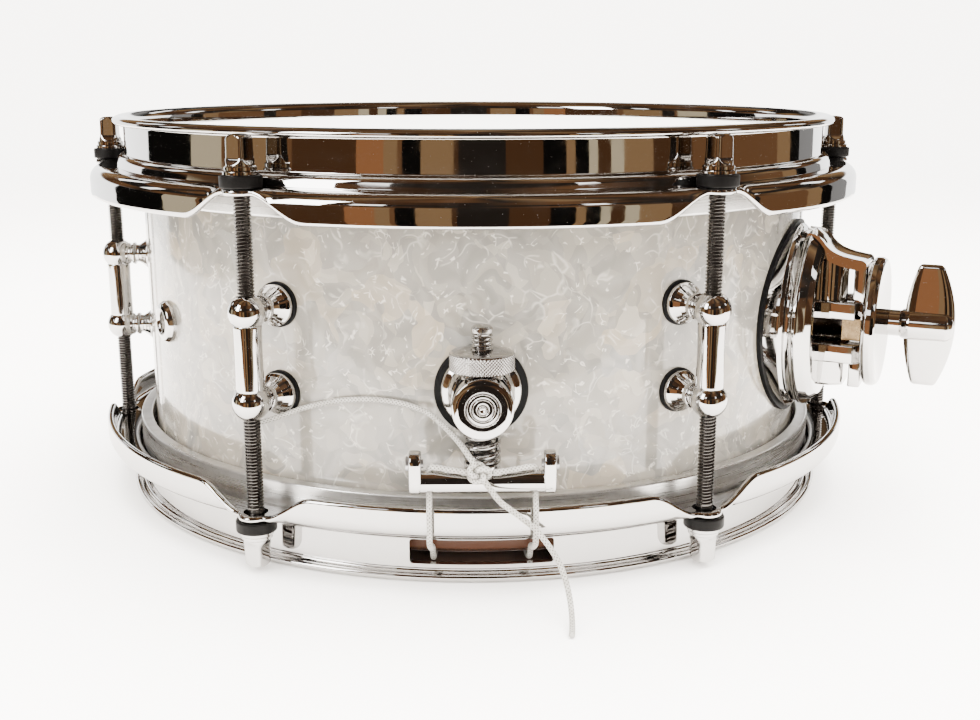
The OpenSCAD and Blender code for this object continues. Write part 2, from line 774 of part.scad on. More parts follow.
module snare_end_plates() {
    y0 = wire_len / 2;
    holes = [-13.4, 13.4];
    color("silver") for (s = [0, 180]) rotate([0, 0, s]) difference() {
        rotate([90, 0, 90]) translate([0, 0, -21]) linear_extrude(42) polygon([
            [-y0 + 8, 3.4], [-y0 - 2, 3.4], [-y0 - 4, 2.4], [-y0 - 13, 2.4],
            [-y0 - 13, 3.2], [-y0 - 4.2, 3.2], [-y0 - 2.2, 4.15], [-y0 + 8, 4.15]
        ]);
        for (x = holes) translate([x, -96.6, 0]) cylinder(r = 1.9, h = 6, $fn = 32);
    }
}

module cord_front() {
    color("white") tube(concat(leg_route, reversed(mirrored_x(leg_route))), cord_r, 8);
}

module cord_knot() {
    color("white") translate(knot_pos) sphere(r = knot_r, $fn = 32);
}

module cord_tail_left() {
    color("white") tube(left_route, cord_r, 8);
}

module cord_tail_right() {
    color("white") tube(right_route, cord_r, 8);
}

module cord_back() {
    route = turned_back(back_route);
    color("white") tube(concat(route, reversed(mirrored_x(route))), cord_r, 8);
}

shell();
shell_wrap();
batter_head();
batter_flesh_hoop();
batter_hoop();
snare_side_head();
snare_side_flesh_hoop();
snare_side_hoop();
for (i = [0:lug_count - 1]) {
    lug(i);
    tension_rod(i);
    upside_down() tension_rod(i);
}
lug_gaskets();
lug_screws();
nylon_washers();
steel_washers();
air_vent();
butt_gasket();
butt_post();
butt_knob();
butt_stud();
butt_bar();
butt_bar_screws();
butt_spring();
throwoff_gasket();
throwoff_post();
throwoff_lever();
throwoff_stud();
throwoff_bar();
throwoff_bar_screws();
throwoff_spring();
strainer_screws();
bracket_gasket();
bracket_base();
bracket_cap();
bracket_jaw();
bracket_wing_screw();
bracket_screws();
snare_wires();
snare_end_plates();
cord_front();
cord_knot();
cord_tail_left();
cord_tail_right();
cord_back();
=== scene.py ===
import json
import math

import bpy
import bmesh
from mathutils import Matrix, Vector


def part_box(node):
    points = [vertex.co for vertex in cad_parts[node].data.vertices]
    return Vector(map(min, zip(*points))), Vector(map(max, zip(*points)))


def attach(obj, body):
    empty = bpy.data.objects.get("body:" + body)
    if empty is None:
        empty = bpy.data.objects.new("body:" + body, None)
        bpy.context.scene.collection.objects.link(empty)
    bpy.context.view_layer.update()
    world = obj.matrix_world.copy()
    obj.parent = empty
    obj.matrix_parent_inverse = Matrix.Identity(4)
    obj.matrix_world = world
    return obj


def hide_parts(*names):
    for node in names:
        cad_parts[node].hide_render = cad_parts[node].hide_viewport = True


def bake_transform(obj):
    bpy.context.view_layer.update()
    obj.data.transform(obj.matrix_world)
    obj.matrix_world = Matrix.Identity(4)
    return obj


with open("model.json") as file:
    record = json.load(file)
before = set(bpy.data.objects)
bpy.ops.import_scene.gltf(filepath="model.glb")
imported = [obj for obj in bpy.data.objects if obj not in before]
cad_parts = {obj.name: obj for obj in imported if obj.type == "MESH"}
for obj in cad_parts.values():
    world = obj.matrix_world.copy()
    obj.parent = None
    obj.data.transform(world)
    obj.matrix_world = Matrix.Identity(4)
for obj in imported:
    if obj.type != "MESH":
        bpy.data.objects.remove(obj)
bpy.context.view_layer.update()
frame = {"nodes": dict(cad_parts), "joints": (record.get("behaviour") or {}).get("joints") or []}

# -------- sizes, from the frame
MM = 0.001
TAU = 2 * math.pi
JOINT = {j["name"]: j for j in frame["joints"]}
NODES = frame["nodes"]

DRUM_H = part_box("batter_hoop")[1].z
MID_Z = DRUM_H / 2
SHELL_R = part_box("shell")[1].x
WRAP_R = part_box("shell_wrap")[1].x
WRAP_Z = (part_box("shell_wrap")[0].z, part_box("shell_wrap")[1].z)
SHELL_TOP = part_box("shell")[1].z
HOOP_OUT = SHELL_R + 19 * MM
HOOP_T = 2.3 * MM
HOOP_EDGE_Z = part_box("batter_hoop")[0].z
LEDGE_Z = DRUM_H - 17.7 * MM
ROD_POS = {i: Vector(JOINT[f"top_rod_{i}_turn"]["pos_m"]) for i in range(1, 7)}
LUG_R = math.hypot(ROD_POS[1].x, ROD_POS[1].y)
LUG_AZ = {i: math.degrees(math.atan2(p.x, -p.y)) for i, p in ROD_POS.items()}
BALL_R = 5.85 * MM
BALL_Z = (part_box("lug_1")[1].z - MID_Z) - BALL_R
ROD_R = 2.75 * MM
ROD_TIP_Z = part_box("top_rod_1")[0].z
ROD_TOP_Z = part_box("top_rod_1")[1].z
POST_Z = JOINT["throwoff_lever_turn"]["pos_m"][2]
STUD_R = math.hypot(*JOINT["butt_knob_turn"]["pos_m"][:2])
BRACKET_AZ = math.degrees(math.atan2(
    JOINT["bracket_wing_turn"]["axis"][0], -JOINT["bracket_wing_turn"]["axis"][1]))
BRACKET_Z = JOINT["bracket_wing_turn"]["pos_m"][2]
VENT_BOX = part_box("air_vent")
VENT_Z = (VENT_BOX[0].z + VENT_BOX[1].z) / 2
VENT_AZ = -58.5
CORD_R = 0.9 * MM
WALL_TINT = (0.885, 0.845, 0.795)
WALL_LIGHT = 8.5
SEEN_LIGHT = 4.5


# -------- camera
# from a least-squares fit to points read off the photo; the angles are in degrees
CAMERA_AT = (-0.00725, -0.4976, 0.1581)
CAMERA_DOWN, CAMERA_TURN = 13.415, -1.541
LENS, SENSOR = 45.56, 36


def linked(name, data):
    """A new object in the scene."""
    obj = bpy.data.objects.new(name, data)
    bpy.context.scene.collection.objects.link(obj)
    return obj


def make_camera():
    data = bpy.data.cameras.new("camera")
    data.sensor_width = SENSOR
    data.lens = LENS
    data.clip_start = 0.01
    data.clip_end = 60
    cam = linked("camera", data)
    cam.location = CAMERA_AT
    cam.rotation_euler = (math.radians(90 - CAMERA_DOWN), 0, math.radians(CAMERA_TURN))
    bpy.context.scene.camera = cam


make_camera()


# -------- mesh helpers
def azimuth_frame(az, z=0.0):
    """Local +X points out of the drum at this angle from the front, +Z up."""
    return Matrix.Translation((0, 0, z)) @ Matrix.Rotation(math.radians(az - 90), 4, "Z")


def flipped():
    """Mirrors the upper side of the drum to the lower side."""
    return Matrix.Translation((0, 0, DRUM_H)) @ Matrix.Diagonal((1, 1, -1, 1))


class Shape:
    """Vertices and faces gathered from several closed parts."""

    def __init__(self):
        self.verts = []
        self.faces = []

    def add(self, verts, faces, matrix=None):
        matrix = matrix or Matrix.Identity(4)
        flip = matrix.to_3x3().determinant() < 0
        first = len(self.verts)
        self.verts += [matrix @ Vector(v) for v in verts]
        for f in faces:
            ids = [first + k for k in f]
            self.faces.append(ids[::-1] if flip else ids)
        return self


def sharpen(mesh, degrees):
    """Smooth shading with a crease wherever two faces meet at more than this angle."""
    bm = bmesh.new()
    bm.from_mesh(mesh)
    bmesh.ops.recalc_face_normals(bm, faces=bm.faces)
    limit = math.radians(degrees)
    for f in bm.faces:
        f.smooth = True
    for e in bm.edges:
        e.smooth = not (len(e.link_faces) == 2 and e.calc_face_angle(0) > limit)
    bm.to_mesh(mesh)
    bm.free()


def mesh_of(name, shape, crease, *materials):
    mesh = bpy.data.meshes.new(name)
    mesh.from_pydata(shape.verts, [], shape.faces)
    sharpen(mesh, crease)
    for material in materials:
        mesh.materials.append(material)
    return mesh


def make_object(name, shape, material, body="root", replaces=(), crease=38):
    return place_mesh(name, mesh_of(name, shape, crease, material), body, replaces)


def place_mesh(name, mesh, body="root", replaces=(), matrix=None):
    obj = linked(name, mesh)
    if matrix is not None:
        obj.matrix_world = matrix
    if body:
        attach(obj, body)
    if replaces:
        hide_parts(*replaces)
    return obj


def rounded(points, steps=5):
    """Rounds the corners of a closed outline. Each point is (a, b) or (a, b, radius)."""
    out = []
    count = len(points)
    for i, p in enumerate(points):
        radius = p[2] if len(p) > 2 else 0
        here = Vector(p[:2])
        before = Vector(points[i - 1][:2])
        after = Vector(points[(i + 1) % count][:2])
        if radius <= 0:
            out.append(tuple(here))
            continue
        to_a, to_b = before - here, after - here
        half = to_a.angle(to_b) / 2
        cut = min(radius / math.tan(half), to_a.length * 0.49, to_b.length * 0.49)
        start = here + to_a.normalized() * cut
        end = here + to_b.normalized() * cut
        for k in range(steps + 1):
            t = k / steps
            out.append(tuple(start.lerp(here, t).lerp(here.lerp(end, t), t)))
    return out


def in_mm(steps, base=0.0):
    """Outline points from (radius, height, corner) in millimetres, above a base in metres."""
    return [(r * MM, base + h * MM, *(c * MM for c in corner)) for r, h, *corner in steps]


def grid(rows, around, first=0, closed=False):
    """Quads between rows of points that each run round; closed joins the last to the first."""
    faces = []
    for i in range(rows if closed else rows - 1):
        a, b = first + i * around, first + (i + 1) % rows * around
        faces += [(a + k, a + (k + 1) % around, b + (k + 1) % around, b + k)
                  for k in range(around)]
    return faces


def lathe(profile, segments=96):
    """Turns a closed outline of (radius, height) about Z. Points on the axis become tips."""
    verts, faces, rows = [], [], []
    for r, h in profile:
        if r < 1e-7:
            rows.append([len(verts)])
            verts.append((0, 0, h))
            continue
        rows.append(list(range(len(verts), len(verts) + segments)))
        verts += [(r * math.cos(TAU * k / segments), r * math.sin(TAU * k / segments), h)
                  for k in range(segments)]
    for a, b in zip(rows, rows[1:] + rows[:1]):
        if len(a) == 1 and len(b) == 1:
            continue
        for k in range(segments):
            j = (k + 1) % segments
            if len(a) == 1:
                faces.append((a[0], b[j], b[k]))
            elif len(b) == 1:
                faces.append((a[k], a[j], b[0]))
            else:
                faces.append((a[k], a[j], b[j], b[k]))
    return verts, faces


def radial_skin(rings, radius, segments=96):
    """A closed skin about Z: rings holds heights, radius(angle, height) the distance out."""
    verts = [(0, 0, rings[0])]
    for h in rings:
        for k in range(segments):
            a = TAU * k / segments
            r = radius(a, h)
            verts.append((r * math.cos(a), r * math.sin(a), h))
    verts.append((0, 0, rings[-1]))
    faces = grid(len(rings), segments, 1)
    top = 1 + (len(rings) - 1) * segments
    for k in range(segments):
        j = (k + 1) % segments
        faces += [(0, 1 + j, 1 + k), (top + k, top + j, len(verts) - 1)]
    return verts, faces


def inset(outline, distance):
    """Moves an anticlockwise outline inwards."""
    out = []
    count = len(outline)
    for i in range(count):
        a, p, b = (Vector(outline[k % count]) for k in (i - 1, i, i + 1))
        before = (p - a).normalized()
        after = (b - p).normalized()
        along = before + after
        along = along.normalized() if along.length > 1e-9 else before
        inward = Vector((-along.y, along.x))
        reach = distance / max(0.4, inward.dot(Vector((-before.y, before.x))))
        out.append(p + inward * reach)
    return out


def slab(outline, low, high, soften=0.4 * MM, steps=3):
    """A plate with this anticlockwise (x, y) outline between two heights, edges rounded."""
    angles = [k / steps * math.pi / 2 for k in range(steps + 1)]
    levels = [(soften * (1 - math.sin(a)), soften * (1 - math.cos(a))) for a in angles[::-1]]
    levels = [(low + h, d) for h, d in levels] + [(high - h, d) for h, d in levels[::-1]]
    n = len(outline)
    verts = []
    for h, d in levels:
        verts += [(q[0], q[1], h) for q in (inset(outline, d) if d > 0 else outline)]
    faces = grid(len(levels), n)
    faces.append(tuple(range(n))[::-1])
    faces.append(tuple((len(levels) - 1) * n + k for k in range(n)))
    return verts, faces


def smooth_path(points, spacing):
    """A Catmull-Rom curve through the points, sampled about this far apart."""
    pts = [Vector(p) for p in points]
    ext = [pts[0] * 2 - pts[1]] + pts + [pts[-1] * 2 - pts[-2]]
    out = []
    for i in range(1, len(ext) - 2):
        a, b, c, d = ext[i - 1:i + 3]
        steps = max(1, round((c - b).length / spacing))
        for k in range(steps):
            t = k / steps
            out.append(0.5 * ((2 * b) + (c - a) * t + (2 * a - 5 * b + 4 * c - d) * t * t
                              + (3 * b - a - 3 * c + d) * t ** 3))
    out.append(pts[-1])
    return out


def sweep(path, radius, sides=16):
    """A closed tube along the path; radius is a number or radius(distance, angle)."""
    n = len(path)
    verts = []
    up = Vector((0, 0, 1))
    run = 0.0
    for i, p in enumerate(path):
        ahead = path[min(i + 1, n - 1)] - path[max(i - 1, 0)]
        d = ahead.normalized()
        if abs(up.dot(d)) > 0.98:
            up = Vector((1, 0, 0)) if abs(d.x) < 0.9 else Vector((0, 1, 0))
        up = (up - up.dot(d) * d).normalized()
        side = d.cross(up)
        if i:
            run += (p - path[i - 1]).length
        for k in range(sides):
            a = TAU * k / sides
            r = radius(run, a) if callable(radius) else radius
            verts.append(p + (up * math.cos(a) + side * math.sin(a)) * r)
    faces = grid(n, sides)
    verts += [path[0], path[-1]]
    last = (n - 1) * sides
    for k in range(sides):
        j = (k + 1) % sides
        faces += [(k, n * sides, j), (last + k, last + j, n * sides + 1)]
    return verts, faces


def threaded_rod(radius, depth, pitch, low, high, segments=24):
    """A rod about Z with a helical thread (crest, flanks and root) and closed ends."""
    shape = (0.0, 0.0, 0.75, 1.0, 0.75)
    per = len(shape)
    rows = (int((high - low) / pitch) - 1) * per + 1
    verts, faces = [], []
    for j in range(rows + per):
        for k in range(segments):
            r = radius - depth * (1 - shape[j % per])
            a = TAU * k / segments
            h = low + pitch * (j / per + k / segments)
            verts.append((r * math.cos(a), r * math.sin(a), h))
    for j in range(rows - 1):
        for k in range(segments - 1):
            a, b = j * segments + k, (j + 1) * segments + k
            faces.append((a, a + 1, b + 1, b))
        a, b = j * segments + segments - 1, (j + per) * segments
        faces.append((a, b, b + segments, a + segments))
    bottom = list(range(segments)) + [(per - s) * segments for s in range(per)]
    top = [(rows - 1) * segments + v for v in bottom]
    verts += [(0, 0, low), (0, 0, high)]
    low_tip, high_tip = len(verts) - 2, len(verts) - 1
    for loop, tip, turn in ((bottom, low_tip, True), (top, high_tip, False)):
        for a, b in zip(loop, loop[1:] + loop[:1]):
            if a != b:
                faces.append((tip, b, a) if turn else (tip, a, b))
    used = sorted({v for f in faces for v in f})
    index = {v: i for i, v in enumerate(used)}
    return [verts[v] for v in used], [[index[v] for v in f] for f in faces]


# -------- materials
class Graph:
    """Short calls for the nodes of one tree."""

    def __init__(self, tree):
        self.tree = tree

    def put(self, socket, value):
        """Links another node's output to the socket, or sets the socket's own value."""
        if isinstance(value, bpy.types.NodeSocket):
            self.tree.links.new(value, socket)
        else:
            socket.default_value = (*value, 1) if socket.type == "RGBA" else value

    def node(self, kind, output=0, **inputs):
        """Makes a node and returns one output; i0, i1 and so on are inputs by number."""
        made = self.tree.nodes.new("ShaderNode" + kind)
        for key, value in inputs.items():
            if key in made.bl_rna.properties and not isinstance(value, bpy.types.NodeSocket):
                setattr(made, key, value)
            else:
                at = int(key[1:]) if key[1:].isdigit() else key.replace("_", " ")
                self.put(made.inputs[at], value)
        return made.outputs[output]

    def math(self, operation, a, b=0.0, c=0.0):
        return self.node("Math", operation=operation, i0=a, i1=b, i2=c)

    def vector(self, operation, a, b=(0, 0, 0), output=0):
        return self.node("VectorMath", output, operation=operation, i0=a, i1=b)

    def remap(self, value, low, high, to_low, to_high, curve="LINEAR"):
        return self.node("MapRange", interpolation_type=curve, i0=value, i1=low, i2=high,
                         i3=to_low, i4=to_high)

    def ramp(self, value, *stops, curve="LINEAR"):
        made = self.tree.nodes.new("ShaderNodeValToRGB")
        ramp = made.color_ramp
        ramp.interpolation = curve
        while len(ramp.elements) < len(stops):
            ramp.elements.new(0.5)
        for element, (at, colour) in zip(ramp.elements, stops):
            element.position = at
            element.color = (*colour, 1)
        self.put(made.inputs[0], value)
        return made.outputs[0]

    def mix(self, factor, a, b):
        return self.node("Mix", 2, data_type="RGBA", i0=factor, i6=a, i7=b)


class Look(Graph):
    """A procedural material that ends in one Principled shader."""

    def __init__(self, name):
        self.mat = bpy.data.materials.new(name)
        self.mat.use_nodes = True
        super().__init__(self.mat.node_tree)
        self.shader = self.tree.nodes["Principled BSDF"]
        self.place = self.node("TexCoord", "Object")

    def set(self, **values):
        for key, value in values.items():
            self.put(self.shader.inputs[key.replace("_", " ")], value)

    def scaled(self, *factors):
        """The place with each axis stretched by its own factor."""
        return self.vector("MULTIPLY", self.place, factors)

    def noise(self, scale, detail=3.0, roughness=0.5, at=None, distortion=0.0):
        return self.node("TexNoise", Vector=at or self.place, Scale=scale, Detail=detail,
                         Roughness=roughness, Distortion=distortion)

    def bump(self, height, strength, distance):
        return self.node("Bump", Strength=strength, Distance=distance, Height=height)


def chrome_look(name, tint, smooth, worn):
    """Polished plate with finger smears, hairline scratches and specks of dust."""
    look = Look(name)
    smear = look.noise(95, 4, 0.6, distortion=1.2)
    hair = look.noise(1, 2, 0.5, at=look.scaled(900, 900, 60))
    dust = look.noise(2600, 1)
    rough = look.math("ADD", look.remap(smear, 0.45, 0.72, smooth, worn),
                      look.remap(dust, 0.73, 0.8, 0, 0.25))
    colour = look.ramp(smear, (0.3, tint), (0.8, tuple(0.95 * c for c in tint)))
    look.set(Base_Color=colour, Metallic=1.0, Roughness=rough,
             Normal=look.bump(hair, 0.02, 0.00002))
    return look.mat


def steel_look(name, bright, dull, rough, streak=(300, 300, 300), low=None):
    """Plated or bare steel with a brushed grain, and grime; low, if given, is a painted dark shade
    taken on below about 13.5 mm height, for the shadow seen through the lower hoop's gates.
    """
    look = Look(name)
    patch = look.noise(240, 4, 0.65)
    grain = look.noise(1, 3, 0.6, at=look.scaled(*streak))
    colour = look.mix(look.remap(patch, 0.4, 0.68, 0, 1), bright, dull)
    # painted shade: below about 12.5 to 14.5 mm height the colour turns to low, standing for the
    # shadow in the lower hoop's gates
    if low:
        height = look.node("SeparateXYZ", 2, Vector=look.place)
        colour = look.mix(look.remap(height, 0.0125, 0.0145, 1, 0), colour, low)
    look.set(Base_Color=colour, Metallic=1.0,
             Roughness=look.remap(grain, 0.3, 0.7, rough * 0.75, rough * 1.35),
             Normal=look.bump(grain, 0.12, 0.00004))
    return look.mat


def pearl_look():
    """White marine pearl: overlapping flakes, each with its own grain, under clear gloss."""
    look = Look("pearl_wrap")
    base = look.scaled(1000, 1000, 1000)
    swirl = look.node("TexNoise", 1, Vector=look.vector("MULTIPLY", base, (0.05,) * 3),
                      Scale=1.0, Detail=2.0)
    push = look.vector("MULTIPLY", look.vector("SUBTRACT", swirl, (0.5,) * 3), (26,) * 3)
    warped = look.vector("ADD", base, push)
    flake = look.node("TexVoronoi", 1, Vector=warped, Scale=0.075, feature="F1")
    flake_b = look.node("TexVoronoi", 1, Vector=warped, Scale=0.19, feature="F1")
    heading = look.vector("SUBTRACT", flake, (0.5,) * 3)
    across = look.vector("DOT_PRODUCT", heading, warped, "Value")
    grain = look.math("SINE", look.math("MULTIPLY", across, 1.7))
    grain = look.remap(grain, -1, 1, 0, 1)
    tone = look.node("SeparateColor", 0, Color=flake)
    tone_b = look.node("SeparateColor", 1, Color=flake_b)
    body = look.ramp(tone, (0.0, (0.105, 0.103, 0.096)), (0.35, (0.135, 0.131, 0.121)),
                     (0.6, (0.16, 0.15, 0.13)), (0.78, (0.25, 0.21, 0.155)),
                     (1.0, (0.14, 0.145, 0.148)))
    small = look.ramp(tone_b, (0.0, (0.10, 0.099, 0.093)), (0.5, (0.135, 0.131, 0.121)),
                      (0.85, (0.20, 0.185, 0.155)), (1.0, (0.32, 0.30, 0.26)))
    mixed = look.mix(0.42, body, small)
    mixed = look.mix(look.math("MULTIPLY", grain, 0.16), mixed, (0.32, 0.31, 0.29))
    edge = look.node("TexVoronoi", 0, Vector=warped, Scale=0.12, feature="DISTANCE_TO_EDGE")
    gate = look.noise(0.14, 2, 0.5, at=base)
    line = look.math("MULTIPLY", look.remap(edge, 0.0, 0.05, 1, 0),
                     look.remap(gate, 0.5, 0.6, 0, 1))
    dash_at = look.vector("ADD", look.vector("MULTIPLY", push, (1.4,) * 3), base)
    dash_edge = look.node("TexVoronoi", 0, Vector=dash_at, Scale=0.26,
                          feature="DISTANCE_TO_EDGE")
    dash_gate = look.noise(0.33, 1, 0.5, at=look.vector("ADD", base, (31, 7, 12)))
    dash = look.math("MULTIPLY", look.remap(dash_edge, 0.0, 0.08, 1, 0),
                     look.remap(dash_gate, 0.60, 0.66, 0, 1))
    lit = look.math("MAXIMUM", look.math("MULTIPLY", line, 0.28),
                    look.math("MULTIPLY", dash, 0.5))
    colour = look.mix(lit, mixed, (0.66, 0.64, 0.60))
    haze = look.noise(0.035, 3, 0.5, at=base)
    colour = look.mix(look.remap(haze, 0.35, 0.7, 0.0, 0.3), colour, (0.13, 0.129, 0.123))
    colour = look.vector("MULTIPLY", colour, (0.90, 0.865, 0.815))
    look.set(Base_Color=colour, Roughness=look.remap(look.noise(70, 3), 0.3, 0.7, 0.10, 0.2),
             Normal=look.bump(look.noise(45, 2), 0.05, 0.0006))
    look.set(Coat_Weight=0.6, Coat_Roughness=0.05, IOR=1.49, Specular_IOR_Level=0.5)
    return look.mat


def film_look(name, colour, rough, grain_scale, clear=0.0):
    """Head film. A clear one turns opaque at its collar, beyond the bearing edge, and its colour
    there is a painted dark brown shade for the shadowed gap seen through the gates.
    """
    look = Look(name)
    spray = look.noise(grain_scale, 2, 0.6)
    cloud = look.noise(30, 3)
    shade = look.mix(look.remap(cloud, 0.35, 0.7, 0, 1), colour,
                     tuple(c * 0.965 for c in colour))
    look.set(Base_Color=shade, Roughness=look.remap(spray, 0.3, 0.7, rough * 0.85, rough * 1.1),
             Normal=look.bump(spray, 0.25, 0.00012))
    if clear:
        # painted shade: past the bearing edge the clear film turns opaque and its colour goes to a
        # dark brown, for the shadow seen through the gates
        reach = look.vector("LENGTH", look.scaled(1, 1, 0), output="Value")
        collar = look.remap(reach, 0.1245, 0.1262, 0, 1)
        look.set(Base_Color=look.mix(collar, shade, (0.045, 0.02, 0.012)),
                 Transmission_Weight=look.remap(collar, 0, 1, clear, 0), IOR=1.5)
    return look.mat


def rubber_look(name, colour, rough, grain_scale=900):
    """Black rubber or nylon with fine grain and a little dust."""
    look = Look(name)
    grain = look.noise(grain_scale, 3, 0.6)
    dust = look.noise(150, 4, 0.6)
    shade = look.mix(look.remap(dust, 0.5, 0.75, 0, 0.5), colour,
                     tuple(c * 2.2 + 0.0006 for c in colour))
    look.set(Base_Color=shade, Roughness=look.remap(grain, 0.3, 0.7, rough * 0.85, rough * 1.15),
             Normal=look.bump(grain, 0.2, 0.00008))
    look.set(Specular_IOR_Level=0.12)
    return look.mat


def wood_look():
    """Shell plies: fine grain that runs round the shell, with darker pores."""
    look = Look("shell_wood")
    rings = look.noise(1, 4, 0.6, at=look.scaled(40, 40, 900))
    pores = look.noise(1, 2, 0.5, at=look.scaled(220, 220, 2600))
    colour = look.ramp(rings, (0.25, (0.50, 0.32, 0.17)), (0.5, (0.66, 0.46, 0.27)),
                       (0.75, (0.76, 0.58, 0.37)))
    colour = look.mix(look.remap(pores, 0.6, 0.7, 0, 0.5), colour, (0.34, 0.2, 0.1))
    look.set(Base_Color=colour, Roughness=look.remap(rings, 0.2, 0.8, 0.35, 0.55),
             Normal=look.bump(pores, 0.2, 0.0001))
    look.set(Coat_Weight=0.25, Coat_Roughness=0.2)
    return look.mat


def cord_look():
    """Bleached nylon braid, a little grubby in patches, with painted shade in the hollows between
    the strands.
    """
    look = Look("white_cord")
    fibre = look.noise(5200, 2, 0.6)
    dirt = look.noise(260, 3, 0.6)
    colour = look.mix(look.remap(dirt, 0.42, 0.72, 0, 1), (0.30, 0.288, 0.262),
                      (0.21, 0.198, 0.172))
    # painted shade: where the braid is hollow, between the strands, its colour goes to a
    # near-black brown
    bend = look.node("NewGeometry", "Pointiness")
    colour = look.mix(look.remap(bend, 0.485, 0.535, 1, 0), colour, (0.06, 0.052, 0.04))
    look.set(Base_Color=colour, Roughness=look.remap(fibre, 0.3, 0.7, 0.5, 0.75),
             Normal=look.bump(fibre, 0.4, 0.00005))
    look.set(Sheen_Weight=0.05, Sheen_Roughness=0.5)
    return look.mat


def floor_look():
    """A plain pale floor with a painted dark shadow under the drum and painted shade where it is
    seen in reflections; it fades into the backdrop far from it.
    """
    look = Look("pale_floor")
    pale = look.mix(look.remap(look.noise(1.3, 2), 0.3, 0.7, 0, 1), (0.86, 0.848, 0.832),
                    (0.84, 0.828, 0.812))
    # painted shade: to reflected rays the floor is darker than it is to the eye
    pale = look.mix(look.node("LightPath", "Is Glossy Ray"), pale, (0.68, 0.66, 0.635))
    # painted shadow: within about 0.13 m of the drum's axis the floor is painted dark brown, for
    # the shade beneath the drum
    under = look.vector("LENGTH", look.scaled(1, 1, 0), output="Value")
    shade = look.remap(under, 0.126, 0.131, 1, 0)
    look.set(Base_Color=look.mix(shade, pale, (0.07, 0.042, 0.03)),
             Roughness=look.remap(look.noise(160, 2), 0.3, 0.7, 0.5, 0.6))
    far = look.remap(look.vector("LENGTH", look.place, output="Value"), 0.5, 1.6, 0, 1)
    glow = look.node("Emission", Color=WALL_TINT, Strength=WALL_LIGHT)
    out = next(n for n in look.tree.nodes if n.type == "OUTPUT_MATERIAL").inputs[0]
    fade = look.node("MixShader", i0=far, i1=out.links[0].from_socket, i2=glow)
    look.put(out, fade)
    return look.mat


HOOP_CHROME = chrome_look("hoop_chrome", (0.54, 0.53, 0.52), 0.025, 0.08)
CAST_CHROME = chrome_look("cast_chrome", (0.56, 0.55, 0.54), 0.03, 0.09)
ROD_STEEL = steel_look("rod_steel", (0.10, 0.094, 0.088), (0.045, 0.041, 0.038), 0.22)
SCREW_STEEL = steel_look("screw_steel", (0.42, 0.42, 0.43), (0.25, 0.24, 0.24), 0.35)
SPRING_STEEL = steel_look("spring_steel", (0.40, 0.395, 0.39), (0.22, 0.21, 0.20), 0.16)
SNARE_STEEL = steel_look("snare_steel", (0.68, 0.68, 0.68), (0.5, 0.5, 0.5), 0.28,
                         (200, 4200, 200))
# the flesh hoop's last colour is painted shade: dark brown below about 13.5 mm, for the shadow
# seen through the gates
ALLOY = steel_look("flesh_alloy", (0.74, 0.73, 0.71), (0.62, 0.61, 0.59), 0.30, (30, 30, 2400),
                   (0.018, 0.010, 0.007))
# near-black chrome, used only as painted shade in the bracket's recess
PAINTED_SHADE_CHROME = chrome_look("painted_shade_chrome", (0.05, 0.044, 0.04), 0.06, 0.14)
JAW_BRASS = steel_look("jaw_brass", (0.30, 0.215, 0.12), (0.20, 0.135, 0.07), 0.25)
PEARL = pearl_look()
HEAD_WHITE = film_look("head_white", (0.58, 0.575, 0.56), 0.55, 1500)
HEAD_CLEAR = film_look("head_clear", (0.93, 0.94, 0.94), 0.2, 500, clear=0.75)
RUBBER = rubber_look("black_rubber", (0.0012, 0.0012, 0.0013), 0.55)
NYLON = rubber_look("black_nylon", (0.0012, 0.001, 0.0009), 0.46, 500)
WOOD = wood_look()
CORD = cord_look()
KNURLED = steel_look("knurled_chrome", (0.42, 0.41, 0.40), (0.26, 0.25, 0.24), 0.12)
STUD_STEEL = steel_look("stud_steel", (0.40, 0.39, 0.38), (0.24, 0.23, 0.22), 0.16)
FLOOR = floor_look()


# -------- snare cords
LEG_ROUTE = [
    (-3, -148.8, 40.6), (-8, -147.6, 40.9), (-14.2, -145.6, 41.3), (-16, -144.5, 40.2),
    (-16, -144.5, 36), (-16, -144.7, 32), (-16, -146.4, 29.5), (-16, -147.6, 27),
    (-16, -147.6, 21.5), (-16, -146.6, 17.8), (-15.9, -143, 15.2), (-15.7, -137.5, 12.6),
    (-15.5, -131.5, 10.6), (-15.4, -128.9, 7), (-15.3, -126.5, 5), (-15.1, -117, 2.2),
    (-14.8, -101, 1.4), (-14.6, -97.2, 1.8), (-14, -96.4, 3.4), (-12, -96.4, 4.3),
    (-5, -96.4, 4.3)]
BACK_ROUTE = [(16, -144.5, 43.5)] + [(-x, y, z) for x, y, z in LEG_ROUTE[3:]]
LEFT_ROUTE = [
    (-2, -149.5, 42.5), (-4.5, -148, 46.2), (-8, -142.5, 49.4), (-12.3, -136.5, 52.2),
    (-16, -131.8, 54), (-20, -128.6, 55), (-25, -126.6, 56), (-30, -125.3, 56.5),
    (-35.5, -123.9, 56.6), (-41, -122.1, 56), (-46.5, -120.2, 55), (-52, -118, 53.3),
    (-57, -116.4, 51.6), (-62, -115.6, 49.6), (-67, -115.4, 47.8), (-71, -115, 46.6)]
RIGHT_ROUTE = [
    (0, -150.4, 39.2), (2, -151.2, 36.5), (5, -151.4, 32.5), (8, -151.3, 30),
    (11, -151.4, 27.6), (15.5, -152.2, 24), (19, -154, 20), (22, -156.8, 15.8),
    (24, -160, 11), (25, -164, 6.5), (25.2, -168, 3.4), (25, -172, 1.6), (24.5, -176, 1)]
KNOT = Vector((-1.2, -149, 40.6)) * MM


def path_length(path):
    return sum((b - a).length for a, b in zip(path, path[1:]))


